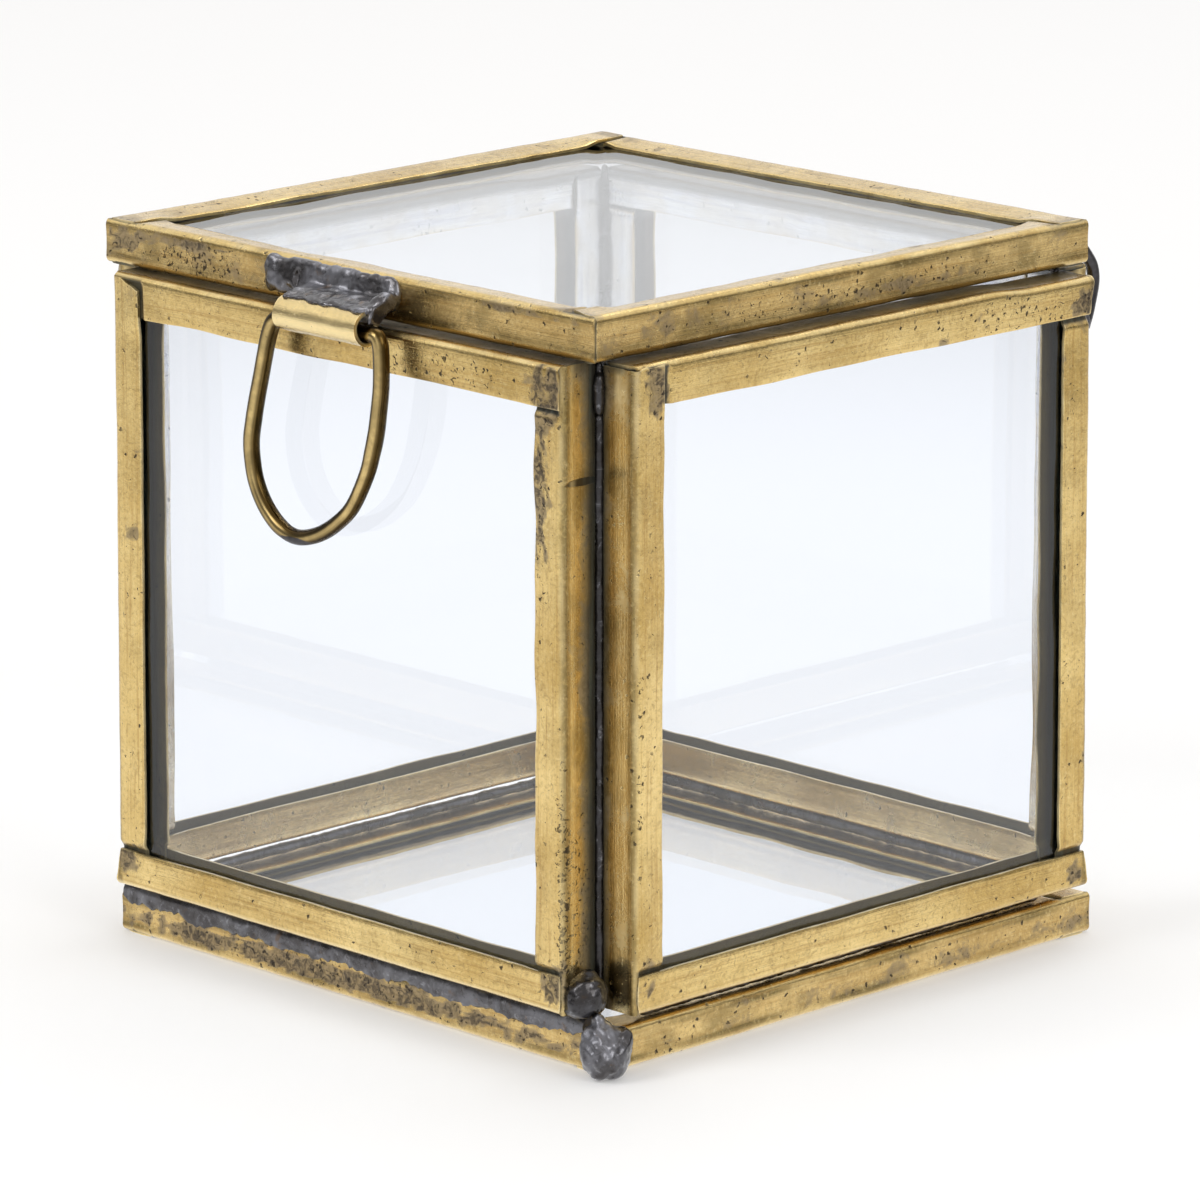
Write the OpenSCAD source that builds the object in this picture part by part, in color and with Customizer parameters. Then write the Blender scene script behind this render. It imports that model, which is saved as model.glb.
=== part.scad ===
// Glass casket box: six framed panes, a hinged lid and a hanging wire pull.
// Every pane is edged with four strips of folded brass channel, whose ends lap at the corners.
// The wall panels touch only along their inner edges, so each corner is an open right-angled groove.
// The origin is at the middle of the underside, +Z is up and the pull is on the -Y side.

/* [Box] */
// Width across the outer wall faces
box_w = 100; // [80:1:160]
// Depth across the outer wall faces
box_d = 100; // [80:1:160]
// Height from the table to the top of the lid
box_h = 100; // [70:1:160]
// Space between the top of the walls and the lid
lid_gap = 0.75; // [0.4:0.05:1.5]
// Space between the base and the walls, filled with solder
base_gap = 1.9; // [1:0.1:3]
// How far the lid's edge lies inside the wall faces
lid_inset = 3.2; // [2:0.1:5]
// How far the base's edge lies inside the wall faces
base_inset = 2.9; // [2:0.1:5]
// How far the lid sits off centre along X and Y
lid_shift = -0.5; // [-1:0.1:0]
// How far the base sits off centre along X and Y
base_shift = 0.35; // [0:0.05:1]

/* [Brass channel] */
// Thickness of the sheet brass
sheet = 0.5; // [0.4:0.05:0.7]
// Width of the channel round the wall panes
wall_t = 6.7; // [6:0.1:8]
// Width of the channel round the lid pane
lid_t = 6.25; // [5.8:0.05:8]
// Width of the channel round the base pane
base_t = 5.9; // [5.8:0.1:8]
// Depth of the channel's flanges over the glass
flange_d = 5.3; // [4:0.1:8]
// Outer radius of the channel's folds
fold_r = 1; // [0.8:0.1:1.4]
// How far the back of the channel is hollowed
dish = 0.3; // [0.1:0.05:0.5]
// Length of the slope where a channel steps under another
step_l = 1; // [0.6:0.1:2]
// How far a lapping end is cut back at its lip
end_cut = 0.8; // [0.2:0.1:1.5]
// Clearance between lapped channels, and between channel and glass
fit = 0.05; // [0.02:0.01:0.1]

/* [Glass] */
// Thickness of the panes
glass_t = 3; // [2:0.1:3.2]
// Room between a pane's edge and the back of its channel
pane_gap = 0.25; // [0.1:0.05:1]

/* [Pull] */
// Diameter of the pull's wire
ring_wire = 2.3; // [1.6:0.1:2.6]
// Drop of the ring from its axis to the bottom of its outline
ring_drop = 30.7; // [24:0.1:36]
// Half width of the ring's outline at its widest
ring_reach = 14; // [13.4:0.1:18]
// Outer diameter of the rolled sleeve
sleeve_d = 4.8; // [4.4:0.1:6]
// Length of the rolled sleeve
sleeve_l = 15.7; // [12:0.1:20]
// Middle of the sleeve along X
sleeve_x = 2.35; // [-5:0.05:5]
// Gap between the sleeve and the front wall
sleeve_gap = 0.25; // [0.2:0.05:1]
// Height of the sleeve's middle above the lid's underside
sleeve_up = 0.15; // [-0.5:0.05:2]

/* [Hinge] */
// Diameter of the hinge wire
pin_d = 1.8; // [1.4:0.1:2]
// Radial clearance of the wire in the tube
pin_clear = 0.08; // [0.03:0.01:0.1]
// Outer diameter of the hinge tube
tube_d = 3.2; // [3:0.1:3.6]
// How far the hinge wire's legs stand in from the wall face at each side
leg_inset = 8.5; // [6:0.5:20]
// Drop of the hinge wire's legs below their axis
leg_drop = 12.8; // [11:0.1:18]
// How far the legs bow out from the back wall
leg_bow = 3.2; // [2.6:0.1:5]
// Bend radius at the ends of the tube
pin_bend = 2; // [1.5:0.1:4]
// Height of the hinge's axis above the lid's underside
axis_up = 2.65; // [2:0.05:4]

/* [Solder] */
// Radius of the bead along the front of the base
bead_r = 1.5; // [1:0.1:2]
// Radius of the seams in the corner grooves
seam_r = 1.25; // [1:0.05:2]
// Radius of the drop on the front corner of the base
corner_drop_r = 3.6; // [2.5:0.1:4]
// Radius of the drop at the foot of the front wall
wall_drop_r = 3; // [1.5:0.1:3.2]
// Length of the solder that holds the pull's sleeve
pull_solder_l = 25.5; // [24:0.5:30]

/* [Hidden] */

$fn = 48;
brass = "#b3924f";
pale_glass = [0.8, 0.9, 0.92, 0.4];
lead = "#4b4a4c";

// Heights of the panels
wall_z = base_t + base_gap;
lid_z = box_h - lid_t;
wall_h = lid_z - lid_gap - wall_z;

// The wall panels stop short of the corner by this much, so that two of them never touch
corner_gap = 0.05;
// Facets round a bent wire, and the turn of one step along its bends
wire_sides = 16;
bend_step = 12;
// The corner seams' middles lie this far out from the walls' inner corners
seam_seat = 0.45;
// The base's corner drop stands this far out from the corner
drop_out = 0.55;
front_w = box_w - 2 * (wall_t + corner_gap);
side_w = box_d - 2 * (wall_t + corner_gap);
lid_w = box_w - 2 * lid_inset;
lid_d = box_d - 2 * lid_inset;
base_w = box_w - 2 * base_inset;
base_d = box_d - 2 * base_inset;

// A channel that goes under another is narrower by a sheet on each side, as far as the other's lip
lap_step = sheet + fit;
lap_l = flange_d + sheet / 2;
web_depth = sheet + dish;
cut = 1;

// The pull: its sleeve hangs in front of the wall's top edge
sleeve_y = -box_d / 2 - sleeve_gap - sleeve_d / 2;
sleeve_z = lid_z + sleeve_up;
sleeve_bore = sleeve_d / 2 - sheet;
ring_z = sleeve_z - sleeve_bore + ring_wire / 2 + fit;
// The ring's lower corners as fractions of its reach and drop, and its five bends as fractions of its reach
ring_shape = [[-1, 0.765], [-0.265, 1], [0.71, 0.75]];
ring_bend = [0.14, 0.68, 0.57, 1.29, 0.21];
// The ring's upper corners lie this far beyond the sleeve's ends
ring_left_out = 2.6;
ring_right_out = 3.7;
// The ring's bent part begins this far from the sleeve's middle, inside its straight top
ring_root = 4;
// The straight top shows this much at the sleeve's left end
ring_top_out = 0.3;
// How much thinner the ring's bends are than its top
bend_thin = 0.02;
// Turn of the sleeve's open seam below its middle
seam_turn = 62;
// The solder pool reaches this far beyond the sleeve's right end
pool_out = 0.4;
lid_front_y = lid_shift - lid_d / 2;
lid_back_y = lid_shift + lid_d / 2;

// The hinge: the tube lies behind the lid, and the wire's legs reach down over the back wall
tube_gap = 0.25;
axis_y = lid_back_y + tube_gap + tube_d / 2;
axis_z = lid_z + axis_up;
leg_x = box_w / 2 - leg_inset;
tube_end_gap = 0.3;
tube_l = 2 * (leg_x - pin_bend - tube_end_gap);
leg_foot_y = box_d / 2 + pin_d / 2 + fit;
// The legs' outermost bend: its drop below the axis, and its radius
knee_drop = 5;
leg_knee = 4;

// ---- Folded channel ----

// Radius that hollows the channel's back by the given dish, between its folds
function dish_r(half) = (pow(half - fold_r, 2) + dish * dish) / (2 * dish);

// A square-cornered U turned on its side: back at x = 0, flanges towards +x, corners of the given radius
module fold_outline(half, back, radius, depth) {
    translate([back + radius, -half])
        square([depth - back - radius, 2 * half]);
    translate([back, -half + radius])
        square([radius + depth / 4, 2 * (half - radius)]);
    for (side = [-1, 1])
        translate([back + radius, side * (half - radius)])
            circle(radius);
}

// Section of the channel's outside
module channel_outside(half) {
    difference() {
        fold_outline(half, 0, fold_r, flange_d);
        translate([dish - dish_r(half), 0])
            circle(dish_r(half), $fn = 96);
    }
}

// Section of the channel's inside, open past the lips
module channel_inside(half) {
    difference() {
        fold_outline(half - sheet, sheet, fold_r - sheet, flange_d + cut);
        translate([dish - dish_r(half), 0])
            circle(dish_r(half) + sheet, $fn = 96);
    }
}

// Half outline of one end of a channel, seen on its edge: plain, or stepped in to go under another
function end_outline(under, at, way, half, past) =
    under ? [[at + way * (web_depth + fit - past), half - lap_step],
             [at + way * lap_l, half - lap_step],
             [at + way * (lap_l + step_l), half]]
          : [[at - way * past, half]];

// Outline of a channel seen on its edge
module edge_outline(length, half, start_under, end_under, past) {
    near = end_outline(start_under, 0, 1, half, past);
    far = end_outline(end_under, length, -1, half, past);
    upper = concat(near, [for (i = [len(far) - 1 : -1 : 0]) far[i]]);
    lower = [for (i = [len(upper) - 1 : -1 : 0]) [upper[i].x, -upper[i].y]];
    polygon(concat(upper, lower));
}

// Extrudes a section along X
module along_x(from, to) {
    translate([from, 0, 0])
        rotate([90, 0, 90])
            linear_extrude(to - from)
                children();
}

// Extrudes an edge outline across the channel's depth
module across_y(from, to) {
    translate([0, to, 0])
        rotate([90, 0, 0])
            linear_extrude(to - from)
                children();
}

// The slanted snip that shortens a lapping end towards its lip
module lip_snip(half) {
    translate([0, 0, -half - cut])
        linear_extrude(2 * (half + cut))
            polygon([[-cut, fold_r], [0, fold_r], [end_cut, flange_d], [end_cut, flange_d + cut],
                     [-cut, flange_d + cut]]);
}

// One strip of channel from x = 0 to its length, with its back at y = 0 and its width about z = 0
module came(length, width, start_under, end_under) {
    half = width / 2;
    color(brass)
        difference() {
            intersection() {
                along_x(0, length)
                    channel_outside(half);
                across_y(0, flange_d)
                    edge_outline(length, half, start_under, end_under, 0);
            }
            intersection() {
                along_x(-cut, length + cut)
                    channel_inside(half);
                across_y(0, flange_d + cut)
                    edge_outline(length, half - sheet, start_under, end_under, cut);
            }
            if (!start_under)
                lip_snip(half);
            if (!end_under)
                translate([length, 0, 0])
                    mirror([1, 0, 0])
                        lip_snip(half);
        }
}

// ---- Framed panels: x across, y up, outer face towards +z ----

module bottom_came(w, h, width, left_under, right_under) {
    translate([-w / 2, 0, 0])
        came(w, width, left_under, right_under);
}

module right_came(w, h, width, bottom_under, top_under) {
    translate([w / 2, 0, 0])
        rotate([0, 0, 90])
            came(h, width, bottom_under, top_under);
}

module top_came(w, h, width, right_under, left_under) {
    translate([w / 2, h, 0])
        rotate([0, 0, 180])
            came(w, width, right_under, left_under);
}

module left_came(w, h, width, top_under, bottom_under) {
    translate([-w / 2, h, 0])
        rotate([0, 0, -90])
            came(h, width, top_under, bottom_under);
}

// The pane lies against the laps behind the outer flanges
module pane(w, h, width) {
    edge = web_depth + pane_gap;
    color(pale_glass)
        translate([-w / 2 + edge, edge, width / 2 - 2 * lap_step - glass_t])
            cube([w - 2 * edge, h - 2 * edge, glass_t]);
}

// Puts a panel upright: turn 0 is the front, and the others follow anticlockwise from above
module stand(turn, reach) {
    rotate([0, 0, 90 * turn])
        translate([0, wall_t / 2 - reach, wall_z])
            rotate([90, 0, 0])
                children();
}

module at_front() { stand(0, box_d / 2) children(); }
module at_right() { stand(1, box_w / 2) children(); }
module at_back() { stand(2, box_d / 2) children(); }
module at_left() { stand(3, box_w / 2) children(); }

module wall_bottom(w) { bottom_came(w, wall_h, wall_t, false, false); }
module wall_right(w) { right_came(w, wall_h, wall_t, true, true); }
module wall_top(w) { top_came(w, wall_h, wall_t, false, true); }
module wall_left(w) { left_came(w, wall_h, wall_t, false, true); }

module front_glass() { at_front() pane(front_w, wall_h, wall_t); }
module front_bottom_rail() { at_front() wall_bottom(front_w); }
module front_right_stile() { at_front() wall_right(front_w); }
module front_top_rail() { at_front() wall_top(front_w); }
module front_left_stile() { at_front() wall_left(front_w); }

module right_glass() { at_right() pane(side_w, wall_h, wall_t); }
module right_bottom_rail() { at_right() wall_bottom(side_w); }
module right_right_stile() { at_right() wall_right(side_w); }
module right_top_rail() { at_right() wall_top(side_w); }
module right_left_stile() { at_right() wall_left(side_w); }

module back_glass() { at_back() pane(front_w, wall_h, wall_t); }
module back_bottom_rail() { at_back() wall_bottom(front_w); }
module back_right_stile() { at_back() wall_right(front_w); }
module back_top_rail() { at_back() wall_top(front_w); }
module back_left_stile() { at_back() wall_left(front_w); }

module left_glass() { at_left() pane(side_w, wall_h, wall_t); }
module left_bottom_rail() { at_left() wall_bottom(side_w); }
module left_right_stile() { at_left() wall_right(side_w); }
module left_top_rail() { at_left() wall_top(side_w); }
module left_left_stile() { at_left() wall_left(side_w); }

// The base and the lid lie flat
module at_base() {
    translate([base_shift, base_shift - base_d / 2, base_t / 2])
        children();
}

module at_lid() {
    translate([lid_shift, lid_front_y, lid_z + lid_t / 2])
        children();
}

module base_glass() { at_base() pane(base_w, base_d, base_t); }
module base_front_came() { at_base() bottom_came(base_w, base_d, base_t, true, true); }
module base_right_came() { at_base() right_came(base_w, base_d, base_t, false, true); }
module base_back_came() { at_base() top_came(base_w, base_d, base_t, false, true); }
module base_left_came() { at_base() left_came(base_w, base_d, base_t, false, false); }

module lid_glass() { at_lid() pane(lid_w, lid_d, lid_t); }
module lid_front_came() { at_lid() bottom_came(lid_w, lid_d, lid_t, true, true); }
module lid_right_came() { at_lid() right_came(lid_w, lid_d, lid_t, false, true); }
module lid_back_came() { at_lid() top_came(lid_w, lid_d, lid_t, false, true); }
module lid_left_came() { at_lid() left_came(lid_w, lid_d, lid_t, false, false); }

// ---- Solder ----

// The seam at the bottom of a corner groove, between two wall panels
module corner_seam(way_x, way_y) {
    color(lead)
        translate([way_x * (box_w / 2 - wall_t), way_y * (box_d / 2 - wall_t), wall_z])
            linear_extrude(wall_h)
                to_corner(way_x, way_y)
                    difference() {
                        translate([seam_seat, seam_seat])
                            circle(seam_r);
                        translate([-corner_gap - wall_t, 0])
                            square(wall_t);
                        translate([0, -corner_gap - wall_t])
                            square(wall_t);
                    }
}

// Turns a section drawn for the corner at +X +Y to another corner
module to_corner(way_x, way_y) {
    mirror([way_x < 0 ? 1 : 0, 0])
        mirror([0, way_y < 0 ? 1 : 0])
            children();
}

module front_left_seam() { corner_seam(-1, -1); }
module front_right_seam() { corner_seam(1, -1); }
module back_right_seam() { corner_seam(1, 1); }
module back_left_seam() { corner_seam(-1, 1); }

// A bead under a wall panel: it fills the space over the base, and may roll over the base's edge
module base_bead(turn, length, base_edge, roll) {
    inner = base_edge - flange_d / 2;
    outer = base_edge - fold_r;
    color(lead)
        rotate([0, 0, 90 * turn])
            along_x(-length / 2, length / 2)
                difference() {
                    union() {
                        translate([-outer, base_t])
                            square([outer - inner, base_gap]);
                        if (roll)
                            translate([-base_edge, base_t + base_gap / 2])
                                circle(bead_r);
                    }
                    translate([-base_edge, 0])
                        square([base_edge, base_t]);
                    translate([-box_w, wall_z])
                        square([2 * box_w, wall_t]);
                }
}

module front_base_bead() { base_bead(0, base_w - 2 * corner_drop_r, base_d / 2 - base_shift, true); }
module right_base_bead() { base_bead(1, side_w - 2 * flange_d, base_w / 2 + base_shift, false); }
module back_base_bead() { base_bead(2, front_w - 2 * flange_d, base_d / 2 + base_shift, false); }
module left_base_bead() { base_bead(3, side_w - 2 * flange_d, base_w / 2 - base_shift, false); }

// The drop that runs down the base's front corner
module base_corner_drop() {
    corner_x = base_shift + base_w / 2;
    corner_y = base_shift - base_d / 2;
    color(lead)
        difference() {
            union() {
                translate([corner_x + drop_out, corner_y, corner_drop_r])
                    sphere(corner_drop_r);
                translate([corner_x, corner_y, base_t / 2])
                    cylinder(h = base_t / 2, r = corner_drop_r / 2);
            }
            translate([corner_x - base_w, corner_y, -base_t])
                cube([base_w, base_d, 2 * base_t]);
            translate([0, -box_d, -base_t])
                cube([box_w, box_d, base_t]);
        }
}

// The drop at the foot of the groove, on the front wall's side
module wall_corner_drop() {
    groove_x = box_w / 2 - wall_t;
    groove_y = wall_t - box_d / 2;
    color(lead)
        difference() {
            translate([groove_x + wall_drop_r / 3, groove_y - wall_t / 2, wall_z + wall_drop_r * 0.8])
                sphere(wall_drop_r);
            translate([groove_x - corner_gap - wall_t, -box_d, wall_z])
                cube([wall_t, 2 * box_d, wall_h]);
            translate([0, groove_y - seam_seat - seam_r, 0])
                cube([box_w, box_d, box_h]);
            translate([0, -box_d, wall_z - wall_t])
                cube([box_w, 2 * box_d, wall_t]);
        }
}

// ---- Pull ----

// Strip rolled into a sleeve, with its tail bent up against the lid's front edge
module handle_sleeve() {
    tail_top = sleeve_z + sleeve_d / 2;
    color(brass)
        along_x(sleeve_x - sleeve_l / 2, sleeve_x + sleeve_l / 2) {
            translate([sleeve_y, sleeve_z])
                difference() {
                    circle(sleeve_d / 2);
                    circle(sleeve_bore);
                    rotate(-seam_turn)
                        translate([0, -sheet / 2])
                            square([sleeve_d, sheet]);
                }
            translate([sleeve_y, tail_top - sheet])
                square([lid_front_y - sleeve_y, sheet]);
            translate([lid_front_y - sheet, tail_top - sheet])
                square([sheet, lid_z + lid_t - fold_r - tail_top]);
        }
}

// Corner points of the ring's outline, in its own plane, from inside the sleeve and back to it
function ring_points() = [
    [sleeve_x - ring_root, 0],
    [sleeve_x - sleeve_l / 2 - ring_left_out, 0],
    for (p = ring_shape) [p.x * ring_reach, -p.y * ring_drop],
    [sleeve_x + sleeve_l / 2 + ring_right_out, 0],
    [sleeve_x + ring_root, 0],
];

// ---- Round wire bent along a path of corner points ----

function unit(v) = v / norm(v);
function corner_angle(a, p, b) = acos(unit(a - p) * unit(b - p));

// Distance from a corner to where its bend begins
function bend_reach(a, p, b, bend) = bend / tan(corner_angle(a, p, b) / 2);

// Points round the bend at p, between the runs to a and to b
function bend_points(a, p, b, bend) =
    let (turn = 180 - corner_angle(a, p, b),
         middle = p + unit(unit(a - p) + unit(b - p)) * bend / cos(turn / 2),
         first = unit(p + unit(a - p) * bend_reach(a, p, b, bend) - middle),
         last = unit(p + unit(b - p) * bend_reach(a, p, b, bend) - middle),
         side = cross(unit(cross(first, last)), first),
         steps = ceil(turn / bend_step))
    [for (i = [0 : steps]) middle + bend * (cos(turn * i / steps) * first + sin(turn * i / steps) * side)];

// The whole middle line: its two ends, and the bends between
function wire_line(points, bends) = [
    points[0],
    for (i = [1 : len(points) - 2]) each bend_points(points[i - 1], points[i], points[i + 1], bends[i - 1]),
    points[len(points) - 1],
];

// Round wire swept along the line; no part of it runs along the given cross direction
module swept_wire(line, r, across) {
    last = len(line) - 1;
    function way(i) = unit(line[min(i + 1, last)] - line[max(i - 1, 0)]);
    function side(i) = unit(cross(way(i), across));
    rim = [for (i = [0 : last], k = [0 : wire_sides - 1])
        let (turn = 360 * (k + 0.5) / wire_sides)
        line[i] + r * (cos(turn) * side(i) + sin(turn) * cross(side(i), way(i)))];
    function at(i, k) = i * wire_sides + k % wire_sides;
    polyhedron(rim, concat(
        [[for (k = [wire_sides - 1 : -1 : 0]) at(0, k)]],
        [[for (k = [0 : wire_sides - 1]) at(last, k)]],
        [for (i = [0 : last - 1], k = [0 : wire_sides - 1]) [at(i, k), at(i, k + 1), at(i + 1, k + 1)]],
        [for (i = [0 : last - 1], k = [0 : wire_sides - 1]) [at(i, k), at(i + 1, k + 1), at(i + 1, k)]]));
}

// The ring hangs from its straight round top, which turns inside the sleeve and is a hair thicker than its bends
module pull_ring() {
    corners = [for (p = ring_points()) [p.x, sleeve_y, ring_z + p.y]];
    color(brass) {
        translate([sleeve_x - sleeve_l / 2 - ring_top_out, sleeve_y, ring_z])
            rotate([0, 90, 0])
                cylinder(h = sleeve_l + ring_top_out, d = ring_wire);
        swept_wire(wire_line(corners, ring_bend * ring_reach), ring_wire / 2 - bend_thin, [0, 1, 0]);
    }
}

// A capsule lying along X
module capsule_x(from, to, r) {
    translate([from, 0, 0])
        rotate([0, 90, 0])
            cylinder(h = to - from, r = r);
    for (end = [from, to])
        translate([end, 0, 0])
            sphere(r);
}

// The pool of solder over the sleeve and on the lid's front edge
module handle_solder() {
    pad_r = lid_t * 0.42;
    pad_right = sleeve_x + sleeve_l / 2 + pool_out - pad_r;
    cover_r = sleeve_d * 0.4;
    sleeve_top = sleeve_z + sleeve_d / 2;
    color(lead)
        difference() {
            union() {
                translate([0, lid_front_y + pad_r / 4, lid_z + lid_t - pad_r - fit])
                    capsule_x(pad_right + 2 * pad_r - pull_solder_l, pad_right, pad_r);
                translate([0, (lid_front_y + sleeve_y) / 2 - sheet, sleeve_top])
                    capsule_x(sleeve_x - sleeve_l / 2 + cover_r, sleeve_x + sleeve_l / 2 - cover_r, cover_r);
            }
            translate([-box_w, lid_front_y, lid_z - lid_t])
                cube([2 * box_w, box_d, 3 * lid_t]);
            translate([sleeve_x - sleeve_l / 2, 0, 0])
                along_x(0, sleeve_l) {
                    translate([sleeve_y, sleeve_z])
                        circle(sleeve_d / 2);
                    translate([sleeve_y, sleeve_z - sleeve_d])
                        square([lid_front_y - sleeve_y, sleeve_d * 1.5]);
                    translate([lid_front_y - sheet, sleeve_top - sheet])
                        square([sheet, lid_z + lid_t - fold_r - sleeve_top + sheet]);
                }
        }
}

// ---- Hinge ----

module hinge_tube() {
    color(brass)
        translate([-tube_l / 2, axis_y, axis_z])
            rotate([0, 90, 0])
                difference() {
                    cylinder(h = tube_l, d = tube_d);
                    translate([0, 0, -cut])
                        cylinder(h = tube_l + 2 * cut, r = pin_d / 2 + pin_clear);
                }
}

// Solder in the crease between the tube and the lid
module hinge_solder() {
    height = 0.8 * tube_d;
    color(lead)
        along_x(flange_d - tube_l / 2, tube_l / 2 - flange_d)
            difference() {
                translate([lid_back_y, axis_z - height / 2])
                    square([axis_y - lid_back_y, height]);
                translate([axis_y, axis_z])
                    circle(d = tube_d);
            }
}

function leg_top(way) = [way * leg_x, axis_y, axis_z];
function leg_bend(way) = [way * leg_x, box_d / 2 + leg_bow, axis_z - knee_drop];
function leg_foot(way) = [way * leg_x, leg_foot_y, axis_z - leg_drop];

// The wire runs through the tube, and its bowed legs are soldered to the back wall's stiles
module hinge_pin() {
    corners = [leg_foot(-1), leg_bend(-1), leg_top(-1), leg_top(1), leg_bend(1), leg_foot(1)];
    color(brass)
        swept_wire(wire_line(corners, [leg_knee, pin_bend, pin_bend, leg_knee]), pin_d / 2, [0, 1, 1]);
}

module pin_solder(way) {
    foot = leg_foot(way);
    along = unit(leg_bend(way) - foot);
    color(lead)
        difference() {
            translate([foot.x, box_d / 2 + pin_d / 4, foot.z + pin_d / 2])
                sphere(pin_d);
            translate([foot.x - box_w / 2, 0, 0])
                cube([box_w, box_d / 2, box_h]);
            swept_wire([foot - along * pin_d, foot + along * 3 * pin_d], pin_d / 2 + fit / 2, [0, 1, 1]);
        }
}

module pin_solder_left() { pin_solder(-1); }
module pin_solder_right() { pin_solder(1); }

base_glass();
front_glass();
right_glass();
back_glass();
left_glass();
lid_glass();
base_front_came();
base_right_came();
base_back_came();
base_left_came();
front_bottom_rail();
front_right_stile();
front_top_rail();
front_left_stile();
right_bottom_rail();
right_right_stile();
right_top_rail();
right_left_stile();
back_bottom_rail();
back_right_stile();
back_top_rail();
back_left_stile();
left_bottom_rail();
left_right_stile();
left_top_rail();
left_left_stile();
lid_front_came();
lid_right_came();
lid_back_came();
lid_left_came();
front_left_seam();
front_right_seam();
back_right_seam();
back_left_seam();
front_base_bead();
right_base_bead();
back_base_bead();
left_base_bead();
base_corner_drop();
wall_corner_drop();
handle_sleeve();
handle_solder();
pull_ring();
hinge_tube();
hinge_solder();
hinge_pin();
pin_solder_left();
pin_solder_right();
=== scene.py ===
import math

import bpy
import numpy as np
from mathutils import Matrix, Vector


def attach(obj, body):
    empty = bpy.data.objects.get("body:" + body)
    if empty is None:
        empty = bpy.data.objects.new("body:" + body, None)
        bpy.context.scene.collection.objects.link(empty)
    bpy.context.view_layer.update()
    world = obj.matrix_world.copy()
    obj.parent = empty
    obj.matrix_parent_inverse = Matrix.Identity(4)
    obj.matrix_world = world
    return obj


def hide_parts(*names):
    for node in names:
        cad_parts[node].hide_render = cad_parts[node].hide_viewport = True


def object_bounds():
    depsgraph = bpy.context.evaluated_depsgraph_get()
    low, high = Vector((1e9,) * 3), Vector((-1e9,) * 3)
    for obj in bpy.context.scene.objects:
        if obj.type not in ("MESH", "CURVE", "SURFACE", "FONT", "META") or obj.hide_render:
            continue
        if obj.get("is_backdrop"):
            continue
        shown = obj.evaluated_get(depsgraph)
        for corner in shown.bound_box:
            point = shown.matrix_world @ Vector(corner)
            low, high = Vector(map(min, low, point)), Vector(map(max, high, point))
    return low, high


MM = 0.001

# ---- The object's sizes, in mm ----

BOX = 100.0
SHEET, FOLD, DISH, FLANGE = 0.5, 1.0, 0.3, 5.3
WALL_T, LID_T, BASE_T = 6.7, 6.25, 5.9
BASE_GAP, LID_GAP = 1.9, 0.75
LID_SHIFT, BASE_SHIFT = -0.5, 0.35
STEP_L, END_CUT, FIT = 1.0, 0.8, 0.05
LAP_STEP = SHEET + FIT
LAP_L = FLANGE + SHEET / 2
WALL_Z = BASE_T + BASE_GAP
LID_Z = BOX - LID_T
WALL_H = LID_Z - LID_GAP - WALL_Z
WALL_W = BOX - 2 * (WALL_T + 0.05)
LID_W = BOX - 6.4
BASE_W = BOX - 5.8
LID_FRONT = LID_SHIFT - LID_W / 2
LID_BACK = LID_SHIFT + LID_W / 2
SLEEVE_R, SLEEVE_L, SLEEVE_X = 2.4, 15.7, 2.35
SLEEVE_Y, SLEEVE_Z = -52.65, 93.9
RING_Z, RING_R = 93.2, 1.15
AXIS_Y, AXIS_Z = 48.15, 96.4
PIN_R, TUBE_R, LEG_X = 0.9, 1.6, 41.5
TUBE_END = LEG_X - 2.3


# ---- Camera, stage and light ----

# The photograph's camera, in metres, degrees round from the front and up, and mm of lens and sensor
CAMERA_PLACE = (0.6995, -0.6907, 0.2899)
CAMERA_TURN, CAMERA_LIFT = 45.38, 13.88
CAMERA_LENS, CAMERA_SENSOR = 222.9, 36.0
# Lamps: name, place and width in metres, watts
LAMPS = (("key", (-0.35, -1.25, 1.15), 0.9, 9.0), ("side", (1.35, -0.2, 0.9), 0.9, 7.0),
         ("top", (-0.2, 0.5, 1.5), 1.1, 8.0))
# The room's light on the object, its level in gloss, and how much darker its wings are there
ROOM_LIGHT, ROOM_LEVEL, WING_DROP = 0.62, 1.06, 0.84
# The floor's own glow near the object and far away, and how much of it shows straight and in gloss
FLOOR_NEAR, FLOOR_FAR, FLOOR_SEEN, FLOOR_GLOSS = 1.12, 1.38, 0.24, 0.6

def make_camera():
    turn, lift = math.radians(CAMERA_TURN), math.radians(CAMERA_LIFT)
    right = Vector((math.cos(turn), math.sin(turn), 0))
    back = Vector((math.sin(turn) * math.cos(lift), -math.cos(turn) * math.cos(lift), math.sin(lift)))
    up = back.cross(right)
    data = bpy.data.cameras.new("camera")
    data.sensor_fit = "HORIZONTAL"
    data.sensor_width = CAMERA_SENSOR
    data.lens = CAMERA_LENS
    data.clip_start, data.clip_end = 0.01, 50.0
    camera = bpy.data.objects.new("camera", data)
    turned = Matrix((right, up, back)).transposed().to_4x4()
    camera.matrix_world = Matrix.Translation(CAMERA_PLACE) @ turned
    bpy.context.scene.collection.objects.link(camera)
    bpy.context.scene.camera = camera


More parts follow.
